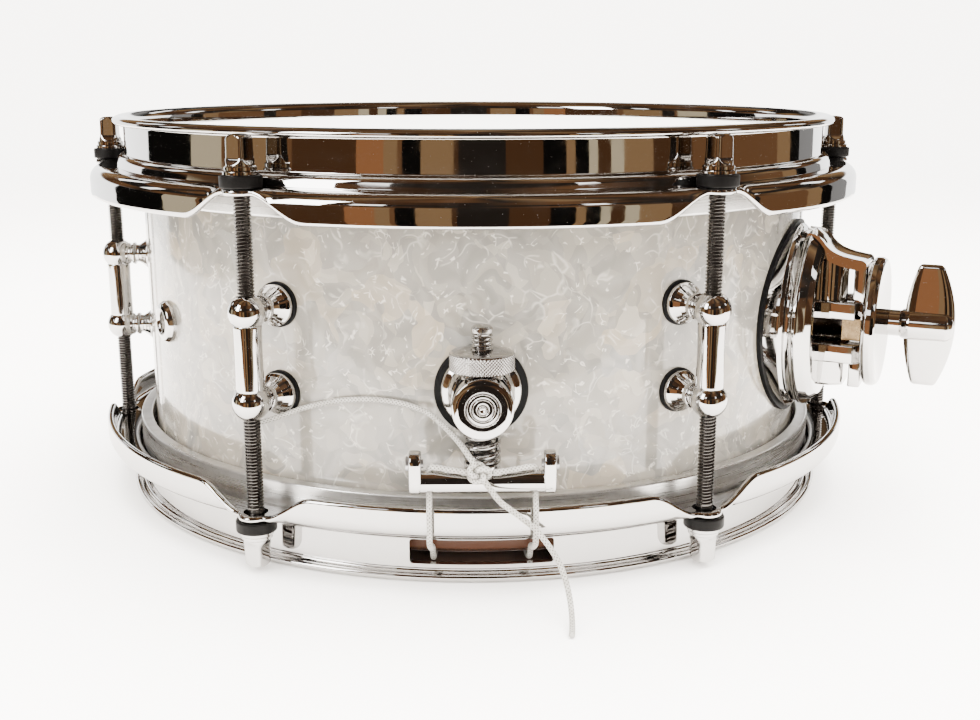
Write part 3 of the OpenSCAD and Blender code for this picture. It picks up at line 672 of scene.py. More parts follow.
def braided(path, sides=24):
    """A braided cord: strands cross both ways round it, and its ends are rounded off."""
    total = path_length(path)
    per_metre = 5.2 / MM

    def radius(run, angle):
        u = 4 * angle + per_metre * run
        v = 4 * angle - per_metre * run
        full = CORD_R * (0.87 + 0.13 * max(math.cos(u), math.cos(v)))
        end = min(1, (min(run, total - run) + 0.02 * MM) / (0.6 * MM))
        return full * math.sqrt(1 - (1 - end) ** 2)

    return sweep(path, radius, sides)


def cord_piece(name, node, route):
    """A cord swept along a smooth curve through the route's points; it is not attached to any
    body.
    """
    path = smooth_path([Vector(p) * MM for p in route], 0.17 * MM)
    obj = make_object(name, Shape().add(*braided(path)), CORD, None, (node,),
                      crease=70)
    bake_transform(obj)
    return obj, path


def build_tail(name, node, route):
    """A tail of the cord: it leaves the knot and runs along its route to a loose end."""
    obj, path = cord_piece(name, node, route)


def build_knot():
    """The overhand knot that joins both legs in front of the butt's stud."""
    big, small = 2.05 * MM, 0.95 * MM
    path = []
    for k in range(241):
        t = TAU * k / 240
        reach = big + small * math.cos(3 * t)
        path.append(KNOT + Vector((reach * math.cos(2 * t) * 1.1,
                                   -small * 1.15 * math.sin(3 * t),
                                   reach * math.sin(2 * t) * 0.9)))
    obj = make_object("snare_cord_knot", Shape().add(*braided(path, 20)), CORD,
                      None, ("cord_knot",), crease=70)
    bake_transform(obj)


def build_cords():
    mirrored = [(-x, y, z) for x, y, z in LEG_ROUTE[::-1]]
    cord_piece("snare_cord_front", "cord_front", LEG_ROUTE + mirrored)
    turned = [(-x, -y, z) for x, y, z in BACK_ROUTE]
    back = turned + [(-x, y, z) for x, y, z in turned[::-1]]
    cord_piece("snare_cord_back", "cord_back", back)
    build_tail("snare_cord_tail_left", "cord_tail_left", LEFT_ROUTE)
    build_tail("snare_cord_tail_right", "cord_tail_right", RIGHT_ROUTE)
    build_knot()


# -------- hoops
ROD_HOLE_R = 3.9 * MM
GATE_HALF, GATE_LOW, GATE_HIGH, GATE_CORNER = 22.8 * MM, 5 * MM, 13.2 * MM, 1.2 * MM


def hoop_centre_line(s):
    """The pressed sheet's centre line (radius, height) where s is the distance along the
    rim from the nearest lug: lip, wall, step, ledge and a flange that turns down into the
    skirt between lugs and runs out flat at a lug's ear."""
    half = HOOP_T / 2
    wall_r = SHELL_R + 4 * MM + half
    lip = 2.3 * MM
    ledge = LEDGE_Z - half
    top = DRUM_H - half
    line = []
    for k in range(10):
        a = math.radians(42 - 132 * k / 9)
        line.append((wall_r + lip + lip * math.sin(a), top - lip + lip * math.cos(a)))
    line += rounded([
        (wall_r, LEDGE_Z + 9 * MM), (wall_r, LEDGE_Z + 3.2 * MM, 2.2 * MM),
        (SHELL_R + 7.9 * MM, LEDGE_Z + 2.6 * MM, 1.6 * MM),
        (SHELL_R + 8.6 * MM, ledge, 1.8 * MM), (SHELL_R + 11 * MM, ledge)
    ])
    reach = 5 * MM
    rise = 17 * MM
    t = min(1, max(0, (s - reach) / rise))
    ease = t * t * (3 - 2 * t)
    full_drop = ledge - (HOOP_EDGE_Z + half)
    drop = ease * full_drop
    shoulder = 3.4 * MM
    turn = max(0.03, math.acos(1 - drop / shoulder)) if drop < shoulder else math.pi / 2
    skirt_r = HOOP_OUT - half
    ear = 6 * MM - half
    tongue = LUG_R + math.sqrt(max(0, ear * ear - s * s)) if s < ear else 0
    out_r = max(skirt_r, tongue)
    start_r = out_r - shoulder * math.sin(turn)
    for k in range(1, 4):
        line.append((line[-1][0] + (start_r - line[-1][0]) * k / 3, ledge))
    for k in range(1, 9):
        a = turn * k / 8
        line.append((start_r + shoulder * math.sin(a), ledge - shoulder * (1 - math.cos(a))))
    straight = max(0.05 * MM, drop - shoulder)
    r, z = line[-1]
    for k in range(1, 5):
        line.append((r + straight * math.cos(turn) * k / 4,
                     z - straight * math.sin(turn) * k / 4))
    return line


def sheet_ring(line, half):
    """The closed outline round a centre line, with round ends."""
    pts = [Vector(p) for p in line]
    n = len(pts)
    normals = []
    for i in range(n):
        a = (pts[i] - pts[i - 1]) if i else (pts[1] - pts[0])
        b = (pts[i + 1] - pts[i]) if i < n - 1 else (pts[-1] - pts[-2])
        d = (a.normalized() + b.normalized()).normalized()
        normals.append(Vector((d.y, -d.x)))
    ring = [pts[i] + normals[i] * half for i in range(n)]
    for centre, start in ((pts[-1], normals[-1]), (pts[0], -normals[0])):
        turn = Vector((-start.y, start.x))
        cap = [centre + (start * math.cos(a) + turn * math.sin(a)) * half
               for a in (math.pi * k / 6 for k in range(1, 6))]
        ring += cap
        if centre is pts[-1]:
            ring += [pts[i] - normals[i] * half for i in range(n - 1, -1, -1)]
    return ring


def hoop_angles():
    """Angles round the rim, closer together near each lug, with the distance to it."""
    span = TAU / 6 * LUG_R / 2
    near = 24 * MM
    offsets = [-near + 2 * near * k / 66 for k in range(67)]
    far = [near + (2 * span - 2 * near) * k / 26 for k in range(1, 26)]
    out = []
    for i in range(1, 7):
        for d in offsets + far:
            a = math.radians(LUG_AZ[1] - 60 * (i - 1)) + d / LUG_R
            out.append((a, min(abs(d), 2 * span - d if d > span else abs(d))))
    return out


def hoop_sheet():
    """The folded sheet of a hoop, all the way round."""
    verts = []
    places = sorted(hoop_angles(), key=lambda p: p[0] % TAU)
    for a, s in places:
        ring = sheet_ring(hoop_centre_line(s), HOOP_T / 2)
        verts += [(r * math.sin(a), -r * math.cos(a), z) for r, z in ring]
    return verts, grid(len(places), len(verts) // len(places), closed=True)


def cut(obj, cutter):
    """Takes the cutter's shape out of the object and removes the cutter."""
    tool = obj.modifiers.new("cut", "BOOLEAN")
    tool.operation = "DIFFERENCE"
    tool.solver = "EXACT"
    tool.object = cutter
    bpy.context.view_layer.update()
    made = bpy.data.meshes.new_from_object(obj.evaluated_get(
        bpy.context.evaluated_depsgraph_get()))
    obj.modifiers.clear()
    obj.data = made
    bpy.data.objects.remove(cutter)


def plain_object(name, shape):
    return linked(name, mesh_of(name, shape, 40))


def build_hoop(name, node, matrix, gates):
    obj = plain_object(name, Shape().add(*hoop_sheet(), matrix))
    holes = Shape()
    low, high = LEDGE_Z - 5 * MM, LEDGE_Z + 5 * MM
    hole = lathe([(0, low), (ROD_HOLE_R, low), (ROD_HOLE_R, high), (0, high)], 32)
    for p in ROD_POS.values():
        holes.add(*hole, matrix @ Matrix.Translation((p.x, p.y, 0)))
    if gates:
        corners = [(-GATE_HALF, GATE_LOW), (GATE_HALF, GATE_LOW), (GATE_HALF, GATE_HIGH),
                   (-GATE_HALF, GATE_HIGH)]
        slot = slab(rounded([(x, z, GATE_CORNER) for x, z in corners]), -6 * MM, 6 * MM,
                    soften=1e-6)
        for side in (-1, 1):
            holes.add(*slot, Matrix.Translation((0, side * (SHELL_R + 5 * MM), 0))
                      @ Matrix.Rotation(math.radians(90), 4, "X"))
    cut(obj, plain_object(name + "_holes", holes))
    sharpen(obj.data, 40)
    obj.data.materials.clear()
    obj.data.materials.append(HOOP_CHROME)
    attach(obj, "root")
    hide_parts(node)


# -------- placing
def upper(i):
    """The frame of lug i on the upper side: +X out of the drum, +Z up."""
    return azimuth_frame(LUG_AZ[i])


def lower(i):
    """The same frame turned over, for what sits on the lower side."""
    return azimuth_frame(LUG_AZ[i], DRUM_H) @ Matrix.Rotation(math.pi, 4, "X")


def at(x, y=0.0, z=0.0):
    return Matrix.Translation((x, y, z))


def along_x(z=0.0):
    """Places a lathe, turned about Z, on the local +X axis at this height."""
    return at(0, 0, z) @ Matrix.Rotation(math.radians(90), 4, "Y")


def along_y(x=0.0, z=0.0):
    """Places a slab's thickness along local Y, with its outline in (x, z)."""
    return at(x, 0, z) @ Matrix.Rotation(math.radians(90), 4, "X")


def ring_outline(inner, outer, low, high, soft):
    """A flat ring's section with rounded edges."""
    return rounded([(inner, low, soft / 2), (outer, low, soft), (outer, high, soft),
                    (inner, high, soft / 2)], 4)


def arc(radius, centre, start, end, steps):
    """Points (a, b) along a circle's arc between two angles in degrees from the a axis."""
    out = []
    for k in range(steps + 1):
        t = math.radians(start + (end - start) * k / steps)
        out.append((centre[0] + radius * math.cos(t), centre[1] + radius * math.sin(t)))
    return out


# -------- rods and washers
# a thread is its radius, depth and pitch
ROD_THREAD = (ROD_R, 0.55 * MM, 1.058 * MM)
WASHER_BORE = 2.95 * MM


def rod_mesh():
    """Rolled thread, plain shank, collar and a square head with scooped flats."""
    shape = Shape()
    shape.add(*threaded_rod(*ROD_THREAD, ROD_TIP_Z + 0.5 * MM, LEDGE_Z - 1.5 * MM))
    collar_z = ROD_TOP_Z - 11 * MM
    neck_z = ROD_TOP_Z - 9.5 * MM

    def radius(angle, z):
        if z < collar_z:
            return ROD_R - 0.2 * MM
        if z < neck_z + 0.01 * MM:
            edge = min(z - collar_z, neck_z - z)
            return 4.9 * MM - max(0, 0.3 * MM - edge)
        up = z - neck_z
        left = ROD_TOP_Z - z
        scoop = max(0, 1 - up / (2.6 * MM))
        flat = 3.2 * MM + 1.5 * MM * scoop ** 2 - 0.16 * MM * min(1, up / (9 * MM))
        square = flat / (abs(math.cos(angle)) ** 9 + abs(math.sin(angle)) ** 9) ** (1 / 9)
        cone = 4.55 * MM - 0.45 * MM * min(1, up / (9 * MM))
        t = max(0, 1 - left / (2.3 * MM))
        cap = 4.3 * MM * max(0, 1 - t ** 2.4) ** (1 / 2.4)
        return max(0.02 * MM, min(square, cone, cap))

    rings = [LEDGE_Z - 4 * MM, collar_z - 0.001 * MM]
    rings += [collar_z + x * MM for x in (0.001, 0.15, 0.3, 0.75, 1.2, 1.35, 1.499)]
    rings += [neck_z + x * MM for x in (0.02, 0.3, 0.6, 0.9, 1.25, 1.6, 2, 2.4, 2.8, 4, 5.5, 7)]
    rings += [ROD_TOP_Z - 2.3 * MM * (1 - math.sin(math.pi / 2 * k / 9)) for k in range(10)]
    shape.add(*radial_skin(rings, radius, 64))
    tip = rounded([(0, ROD_TIP_Z), (1.7 * MM, ROD_TIP_Z, 0.2 * MM),
                   (2.15 * MM, ROD_TIP_Z + 0.7 * MM), (0, ROD_TIP_Z + 2 * MM)])
    shape.add(*lathe(tip, 24))
    mesh = mesh_of("tension_rod", shape, 42, ROD_STEEL, CAST_CHROME)
    for face in mesh.polygons:
        face.material_index = 1 if face.center.z > collar_z else 0
    return mesh


def build_rods():
    mesh = rod_mesh()
    for i in ROD_POS:
        for side, turned in (("top", upper), ("bottom", lower)):
            place_mesh(f"tension_rod_{side}_{i}", mesh, f"{side}_rod_{i}",
                       (f"{side}_rod_{i}",), turned(i) @ at(LUG_R))


def build_washers():
    nylon_low = LEDGE_Z + 0.05 * MM
    nylon_high = nylon_low + 3.7 * MM
    nylon = lathe(ring_outline(WASHER_BORE, 6.5 * MM, nylon_low, nylon_high, 0.5 * MM), 64)
    steel = lathe(ring_outline(WASHER_BORE, 5.4 * MM, nylon_high + 0.03 * MM,
                               nylon_high + 1.25 * MM, 0.25 * MM), 64)
    black, bright = Shape(), Shape()
    for i in ROD_POS:
        for side in (upper(i), lower(i)):
            black.add(*nylon, side @ at(LUG_R))
            bright.add(*steel, side @ at(LUG_R))
    make_object("washers_nylon", black, NYLON, replaces=("nylon_washers",))
    make_object("washers_steel", bright, CAST_CHROME,
                replaces=("steel_washers",))


# -------- lugs
def lug_spindle():
    """Both balls and the tube between them, bored through for the rods."""
    bore = ROD_R + 0.1 * MM
    mouth = math.degrees(math.acos((bore + 0.35 * MM) / BALL_R))
    tube = 4.4 * MM
    meet = -math.degrees(math.acos((tube + 0.1 * MM) / BALL_R))
    half = [(bore, BALL_Z + BALL_R * math.sin(math.radians(mouth)) - 0.45 * MM)]
    half += arc(BALL_R, (0, BALL_Z), mouth, meet, 30)
    root = BALL_Z - math.sqrt(BALL_R ** 2 - tube ** 2)
    half += [(tube - 0.12 * MM, root - 0.12 * MM), (tube, root - 0.35 * MM),
             (tube, root - 0.8 * MM), (tube - 0.1 * MM, 0.35 * root)]
    return lathe(half + [(r, -z) for r, z in half[::-1]], 72)


def lug_post():
    """A turned post from the ball to the shell: neck, bead, waist and a flared foot."""
    foot = WRAP_R + 1.3 * MM
    body = in_mm([(0, -3), (4.6, -3), (4.2, -4.7, 0.5), (3.4, -5.4, 0.4), (3.4, -6.0, 0.15),
                  (4.35, -6.25, 0.35), (4.35, -7.15, 0.35), (3.45, -7.5, 0.3), (3.55, -8.7, 0.8),
                  (4.5, -10.2, 1.2), (5.9, -11.9, 1.0), (6.75, -12.7, 0.5),
                  (6.75, -13.9, 0.25)], LUG_R)
    return lathe(rounded(body + [(6.5 * MM, foot), (0, foot)], 5), 72)


def build_lugs():
    shape = Shape()
    shape.add(*lug_spindle(), at(LUG_R, 0, MID_Z))
    post = lug_post()
    for side in (-1, 1):
        shape.add(*post, along_x(MID_Z + side * BALL_Z))
    mesh = mesh_of("lug", shape, 40, CAST_CHROME)
    for i in ROD_POS:
        place_mesh(f"tube_lug_{i}", mesh, "root", (f"lug_{i}",), upper(i))
    gaskets = Shape()
    disc = lathe(ring_outline(2.3 * MM, 7.3 * MM, WRAP_R - 0.25 * MM, WRAP_R + 1.28 * MM,
                              0.35 * MM), 64)
    for i in ROD_POS:
        for side in (-1, 1):
            gaskets.add(*disc, upper(i) @ along_x(MID_Z + side * BALL_Z))
    make_object("gaskets_under_lugs", gaskets, RUBBER,
                replaces=("lug_gaskets",))


# -------- heads, flesh hoops, wrap
FILM = 0.25 * MM
FLESH_LOW, FLESH_HIGH = DRUM_H - 27.5 * MM, DRUM_H - 16.7 * MM
# the wrap's lap seam: its place, how far it laps, and how proud it stands
SEAM_AZ = VENT_AZ - 6.2
LAP, LAP_PROUD = 13 * MM, 0.3 * MM


def build_head(name, node, matrix, material):
    """The film inside the hoop, over the bearing edge and down to its flesh hoop."""
    rim = SHELL_R + 1 * MM
    top = SHELL_TOP + 0.05 * MM
    flesh_top = DRUM_H - 16.6 * MM
    under = [(0, top), (SHELL_R - 1.6 * MM, top, 1.2 * MM),
             (rim - 0.3 * MM, top - 1.9 * MM, 1.6 * MM), (SHELL_R + 2.3 * MM, flesh_top)]
    over = [(SHELL_R + 2.6 * MM, flesh_top), (rim, top - 1.75 * MM, 1.8 * MM),
            (SHELL_R - 1.5 * MM, top + FILM, 1.4 * MM), (0, top + FILM)]
    shape = Shape().add(*lathe(rounded(under + over, 6), 240), matrix)
    make_object(name, shape, material, replaces=(node,))


def build_flesh_hoop(name, node, matrix):
    near, far = SHELL_R + 2.2 * MM, SHELL_R + 6.4 * MM
    section = [(near, FLESH_LOW, 0.8 * MM), (far, FLESH_LOW, 0.8 * MM),
               (far, FLESH_HIGH, 1.0 * MM), (near, FLESH_HIGH, 0.3 * MM)]
    shape = Shape().add(*lathe(rounded(section, 5), 240), matrix)
    make_object(name, shape, ALLOY, replaces=(node,))


def build_wrap():
    """The pearl sheet goes once round the shell; its end laps over its start beside the
    vent, so the outer layer stands a little proud there and eases down."""
    seam = math.radians(SEAM_AZ)
    lap = LAP / WRAP_R
    segments = 720
    rows = [WRAP_Z[0] + (WRAP_Z[1] - WRAP_Z[0]) * k / 8 for k in range(9)]
    verts = []
    layers = [(z, True) for z in rows] + [(z, False) for z in rows[::-1]]
    for z, inner in layers:
        for k in range(segments):
            past = TAU * (k + 0.5) / segments
            proud = LAP_PROUD * max(0, 1 - past / lap) ** 0.35
            r = SHELL_R + 0.02 * MM if inner else WRAP_R + proud
            verts.append((r * math.sin(seam - past), -r * math.cos(seam - past), z))
    faces = grid(len(layers), segments, closed=True)
    make_object("pearl_sheet", Shape().add(verts, faces), PEARL,
                replaces=("shell_wrap",), crease=60)


def build_vent():
    """A rolled metal grommet, open through the shell."""
    section = [(3.6, -8.5), (7.4, -8.5, 0.3), (7.4, -6.6, 0.3), (5.0, -6.6), (5.0, -0.4),
               (7.4, -0.4), (7.4, 1.1, 0.7), (6.4, 2.7, 0.9), (4.6, 3.1, 0.7),
               (3.6, 2.3, 0.6)]
    shape = Shape().add(*lathe(rounded(in_mm(section, WRAP_R), 6), 72),
                        azimuth_frame(VENT_AZ) @ along_x(VENT_Z))
    make_object("vent_grommet", shape, CAST_CHROME, replaces=("air_vent",))


# -------- snare strainers
BAR_X = WRAP_R + 17 * MM
BAR_Z = 36.5 * MM
HUB_TOP = BAR_Z + 5 * MM
POST_R = 9.15 * MM
POST_END = WRAP_R + 24 * MM
HALF_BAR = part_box("butt_bar")[1].x
CORD_HOLE = 16 * MM
KNOB_R = 9.85 * MM
KNOB_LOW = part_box("butt_knob")[0].z
KNOB_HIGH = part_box("butt_knob")[1].z
BUTT_STUD_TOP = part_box("butt_stud")[1].z
THROW_STUD_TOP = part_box("throwoff_stud")[1].z
STUD_HOLE = 3.25 * MM
STUD_THREAD = (3.2 * MM, 0.62 * MM, 1.27 * MM)
SPRING_WIRE_R, SPRING_R, SPRING_TURNS = 0.9 * MM, 4.85 * MM, 3.6


def post_shape(az, rings):
    """A flanged post turned about the outward axis, with a cross boss for the stud."""
    foot = WRAP_R + 1.3 * MM
    face = []
    if rings:
        for r in (1.5, 3.3, 4.9):
            face += [(r + 0.42, 0.0, 0.12), (r + 0.22, -0.32, 0.1),
                     (r - 0.22, -0.32, 0.1), (r - 0.42, 0.0, 0.12)][::-1]
        face = [(0, -0.55), (0.45, -0.3), (0.8, 0.0, 0.1)] + face
    else:
        face = [(0, 0), (2.0, 0)]
    outline = in_mm(face, POST_END)
    outline += in_mm([(7.3, 0, 0.3), (7.55, -0.12)], POST_END)
    outline += [(POST_R, POST_END - 0.12 * MM, 0.8 * MM), (POST_R, foot + 5.4 * MM, 2.2 * MM),
                (POST_R + 1.1 * MM, foot + 3.2 * MM, 1.5 * MM)]
    outline += in_mm([(12, 2.2, 0.8), (12.5, 1.2, 0.4), (12.5, 0, 0.2), (0, 0)], foot)
    shape = Shape()
    place = azimuth_frame(az)
    shape.add(*lathe(rounded(outline, 5), 96), place @ along_x(POST_Z))
    boss = [(STUD_HOLE, POST_Z - 9 * MM), (5.6 * MM, POST_Z - 9.1 * MM, 0.4 * MM),
            (6.3 * MM, POST_Z - 7.8 * MM, 0.6 * MM), (6.3 * MM, POST_Z + 7.7 * MM, 0.5 * MM),
            (5.8 * MM, POST_Z + 9.05 * MM, 0.3 * MM), (STUD_HOLE, POST_Z + 9.05 * MM)]
    shape.add(*lathe(rounded(boss, 4), 64), place @ at(STUD_R))
    return shape


def knurled_knob():
    """A turned nut with a diamond knurl round its lower edge."""
    teeth = 56
    segments = teeth * 6
    height = KNOB_HIGH - KNOB_LOW
    band = (0.55 * MM, 5.35 * MM)
    rows = [(STUD_HOLE, 0.0), (KNOB_R - 1.1 * MM, 0.0), (KNOB_R - 0.7 * MM, 0.15 * MM)]
    steps = 26
    rows += [(KNOB_R, band[0] + (band[1] - band[0]) * k / steps) for k in range(steps + 1)]
    rows += [(KNOB_R - 0.35 * MM, 5.5 * MM), (KNOB_R - 0.45 * MM, 5.7 * MM)]
    rows += [(r * MM, h * MM) for r, h in
             ((9.1, 5.9), (8.5, 6.08), (7.6, 6.28), (6.6, 6.46), (5.7, 6.58), (4.9, 6.66))]
    rows += [(STUD_HOLE + 0.4 * MM, height), (STUD_HOLE, height - 0.4 * MM)]
    verts = []
    for r, h in rows:
        knurled = band[0] <= h <= band[1] and r == KNOB_R
        for k in range(segments):
            a = TAU * k / segments
            reach = r
            if knurled:
                turn = teeth * k / segments
                climb = (h - band[0]) / (1.05 * MM)
                u = abs((turn + climb) % 1 - 0.5) * 2
                v = abs((turn - climb) % 1 - 0.5) * 2
                reach = r - 0.45 * MM * (1 - min(u, v))
            verts.append((reach * math.cos(a), reach * math.sin(a), KNOB_LOW + h))
    return verts, grid(len(rows), segments, closed=True)


def stud_shape(az, top):
    """A machine-threaded stud with a plain chamfered end."""
    shape = Shape()
    place = azimuth_frame(az) @ at(STUD_R)
    shape.add(*threaded_rod(*STUD_THREAD, BAR_Z - 1.6 * MM, top - 1.2 * MM, 28), place)
    end = in_mm([(0, -3), (2.5, -3), (2.6, -2.3), (3.2, -1.9, 0.2), (3.2, -0.6, 0.25),
                 (2.6, 0, 0.2), (0, 0)], top)
    shape.add(*lathe(rounded(end, 4), 48), place)
    return shape


def bar_shape(az):
    """A round cross bar with an upright ear at each end and a hub round the stud."""
    shape = Shape()
    place = azimuth_frame(az)
    reach = HALF_BAR - 1 * MM
    rod = lathe(rounded([(0, -reach), (3.5 * MM, -reach), (3.5 * MM, reach), (0, reach)]), 56)
    solid = plain_object("bar_rod", Shape().add(*rod, at(BAR_X, 0, BAR_Z) @ Matrix.Rotation(
        math.radians(90), 4, "X")))
    drill = Shape()
    for w in (-CORD_HOLE, CORD_HOLE):
        hole = lathe([(0, BAR_Z - 6 * MM), (1.15 * MM, BAR_Z - 6 * MM),
                      (1.15 * MM, BAR_Z + 6 * MM), (0, BAR_Z + 6 * MM)], 28)
        drill.add(*hole, at(BAR_X, w))
    cut(solid, plain_object("bar_holes", drill))
    mesh = solid.data
    shape.add([v.co for v in mesh.vertices], [list(p.vertices) for p in mesh.polygons], place)
    bpy.data.objects.remove(solid)
    hub = [(STUD_HOLE, BAR_Z - 3 * MM), (5.6 * MM, BAR_Z - 3 * MM, 0.5 * MM),
           (5.6 * MM, HUB_TOP, 0.6 * MM), (STUD_HOLE, HUB_TOP)]
    shape.add(*lathe(rounded(hub, 4), 56), place @ at(STUD_R))
    web = rounded([(STUD_R, -4.5 * MM), (BAR_X, -4.5 * MM), (BAR_X, 4.5 * MM),
                   (STUD_R, 4.5 * MM)])
    shape.add(*slab(web, BAR_Z - 3 * MM, BAR_Z + 2.5 * MM), place)
    ear_r = 3.7 * MM
    outline = arc(ear_r, (BAR_X, BAR_Z), 180, 360, 20) + arc(ear_r, (BAR_X, BAR_Z + 6 * MM),
                                                            0, 180, 20)
    ear = slab(outline, -1.85 * MM, 1.85 * MM, 0.75 * MM, 5)
    for w in (-1, 1):
        shape.add(*ear, place @ at(0, w * (HALF_BAR - 1.85 * MM), 0) @ along_y())
    return shape


def spring_path(az):
    """The spring's helix, with both ends closed down flat."""
    reach = SPRING_WIRE_R + 0.1 * MM
    low, high = HUB_TOP + reach, POST_Z - POST_R - reach
    flat, steps = 0.14, 200
    path = []
    for k in range(steps + 1):
        t = k / steps
        rise = min(1, max(0, (t - flat) / (1 - 2 * flat)))
        a = TAU * SPRING_TURNS * t
        path.append(azimuth_frame(az) @ Vector((
            STUD_R + SPRING_R * math.cos(a), SPRING_R * math.sin(a), low + (high - low) * rise)))
    return path


def build_strainer(name, az, bar_body):
    front = name == "butt"
    shape = post_shape(az, front)
    make_object(f"{name}_post_turned", shape, CAST_CHROME,
                replaces=(f"{name}_post",))
    pad = lathe(ring_outline(3 * MM, 14.6 * MM, WRAP_R - 0.7 * MM, WRAP_R + 1.28 * MM,
                             0.5 * MM), 96)
    make_object(f"{name}_pad", Shape().add(*pad, azimuth_frame(az) @ along_x(POST_Z)), RUBBER,
                replaces=(f"{name}_gasket",))
    top = BUTT_STUD_TOP if front else THROW_STUD_TOP
    make_object(f"{name}_threaded_stud", stud_shape(az, top), STUD_STEEL,
                bar_body, (f"{name}_stud",))
    make_object(f"{name}_cross_bar", bar_shape(az), CAST_CHROME, bar_body,
                (f"{name}_bar",))
    path = spring_path(az)
    spring = make_object(f"{name}_coil_spring", Shape().add(*sweep(path, SPRING_WIRE_R, 14)),
                         SPRING_STEEL, None, (f"{name}_spring",), crease=60)
    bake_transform(spring)


def build_butt_knob():
    knob = Shape().add(*knurled_knob(), azimuth_frame(0) @ at(STUD_R))
    make_object("butt_knurled_nut", knob, KNURLED, "butt_knob",
                ("butt_knob",), crease=75)


def build_lever():
    """The throw-off lever: a round head on the post's end and a waisted handle above it."""
    x0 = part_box("throwoff_lever")[1].y - 4 * MM
    tip = POST_Z + 36 * MM
    head = arc(POST_R, (0, POST_Z), 140, 400, 44)
    waist = [(3.9 * MM, POST_Z + 13 * MM, 12 * MM), (3.6 * MM, POST_Z + 22 * MM, 20 * MM),
             (4.5 * MM, tip - 2 * MM, 4 * MM)]
    right = rounded([head[-1]] + waist + [(4.5 * MM, tip)], 6)[1:-1]
    left = [(-a, z) for a, z in right[::-1]]
    outline = head + right + arc(4.5 * MM, (0, tip), 0, 180, 20) + left
    plate = slab(outline, 0, 4 * MM, 0.9 * MM, 5)
    stand = Matrix(((0, 0, 1, x0), (1, 0, 0, 0), (0, 1, 0, 0), (0, 0, 0, 1)))
    shape = Shape().add(*plate, azimuth_frame(180) @ stand)
    pin = rounded([(0, WRAP_R + 17.8 * MM), (3 * MM, WRAP_R + 17.8 * MM), (3 * MM, x0 + MM),
                   (0, x0 + MM)])
    shape.add(*lathe(pin, 40), azimuth_frame(180) @ along_x(POST_Z))
    make_object("throwoff_lever_handle", shape, CAST_CHROME, "throwoff_lever",
                ("throwoff_lever",))


# -------- tom bracket
DOME_R = 33.3 * MM
ARM_X = WRAP_R + 14 * MM
ARM_R = 5.25 * MM
CAP_X = (WRAP_R + 27.4 * MM, WRAP_R + 32.4 * MM)
WING_X = (WRAP_R + 39.6 * MM, WRAP_R + 56.6 * MM)
# low and high ends; a bar also says whether it has the jaw's pocket
BARREL_ENDS = ((46.2 * MM, 56 * MM), (76 * MM, 91 * MM))
BARS = ((70.8 * MM, 76.9 * MM, True), (55.1 * MM, 61.7 * MM, False))


def draped(verts, radius):
    """Presses the back of a part turned about local X onto a cylinder of this radius."""
    return [(max(x, math.sqrt(max(0, radius ** 2 - y ** 2))), y, z) for x, y, z in verts]


def dome_profile():
    """The turned base from its edge inwards: rim, groove, bead and the flank of the dome."""
    steps = [(0.0, -7.0, 0), (0.0, 2.2, 0.6), (-1.2, 3.3, 0.5), (-2.3, 3.9, 0.5),
             (-2.3, 5.5, 0.6), (-1.5, 6.3, 0.6), (-1.3, 7.6, 1.2), (-3.4, 10.3, 3.0),
             (-5.6, 12.1, 1.2), (-7.5, 12.5, 0.8)]
    return [(DOME_R + d * MM, WRAP_R + x * MM, c * MM) for d, x, c in steps]


def box_slab(x0, x1, half_y, z0, z1, soft=0.7 * MM):
    outline = rounded([(x0, -half_y, soft), (x1, -half_y, soft), (x1, half_y, soft),
                       (x0, half_y, soft)], 4)
    return slab(outline, z0, z1, soft, 4)


def clamp_barrel(z0, z1):
    """One end of the barrel round the arm, cut flat beside the slit."""
    section = [(ARM_R, z0), (8.6 * MM, z0, 0.4 * MM), (9.2 * MM, z0 + 0.8 * MM, 0.5 * MM),
               (9.2 * MM, z1), (ARM_R, z1)]
    verts, faces = lathe(rounded(section, 4), 72)
    placed = [at(ARM_X) @ Vector(v) for v in verts]
    return [(min(v.x, WRAP_R + 20.6 * MM), v.y, v.z) for v in placed], faces


def clamp_bar(z0, z1, pocket):
    """Half of a square bar, round the arm's bore; the upper bar has a pocket for the jaw."""
    x0, x1, w, c = WRAP_R + 7 * MM, WRAP_R + 27.2 * MM, 11 * MM, 3.2 * MM
    lap, soft = 0.9 * MM, 0.5 * MM
    tilt = math.asin(lap / ARM_R)
    start, end = math.pi + tilt, math.pi / 2 if pocket else -tilt
    turns = [start + (end - start) * k / 32 for k in range(33)]
    outline = [(ARM_X + ARM_R * math.cos(a), ARM_R * math.sin(a)) for a in turns]
    if pocket:
        back = WRAP_R + 22.6 * MM
        outline += [(ARM_X, 6.4 * MM), (back, 6.4 * MM), (back, -lap)]
    outline += [(x1, -lap), (x1, w - c, soft), (x1 - c, w, soft), (x0, w, soft), (x0, -lap)]
    return slab(rounded(outline, 3), z0, z1, 0.6 * MM, 4)


def brow_outline():
    """The top plate sweeps down from the dome to the end disc."""
    b = WRAP_R
    curve = [(4, 100.2), (7, 99.9), (9.4, 99.2), (11, 97.8), (12.6, 95.9), (15, 94),
             (18.4, 92.6), (22, 91.8), (25, 91.3)]
    top = smooth_path([Vector((b + x * MM, z * MM, 0)) for x, z in curve], 0.5 * MM)
    low = []
    for p, q in zip(top, top[1:]):
        run = (q - p).normalized()
        low.append((p.x + 2.7 * MM * run.y, p.y - 2.7 * MM * run.x))
    tip = arc(1.35 * MM, (b + 25 * MM, 89.95 * MM), 80, -80, 12)
    return [(p.x, p.y) for p in top] + tip + low[::-1]


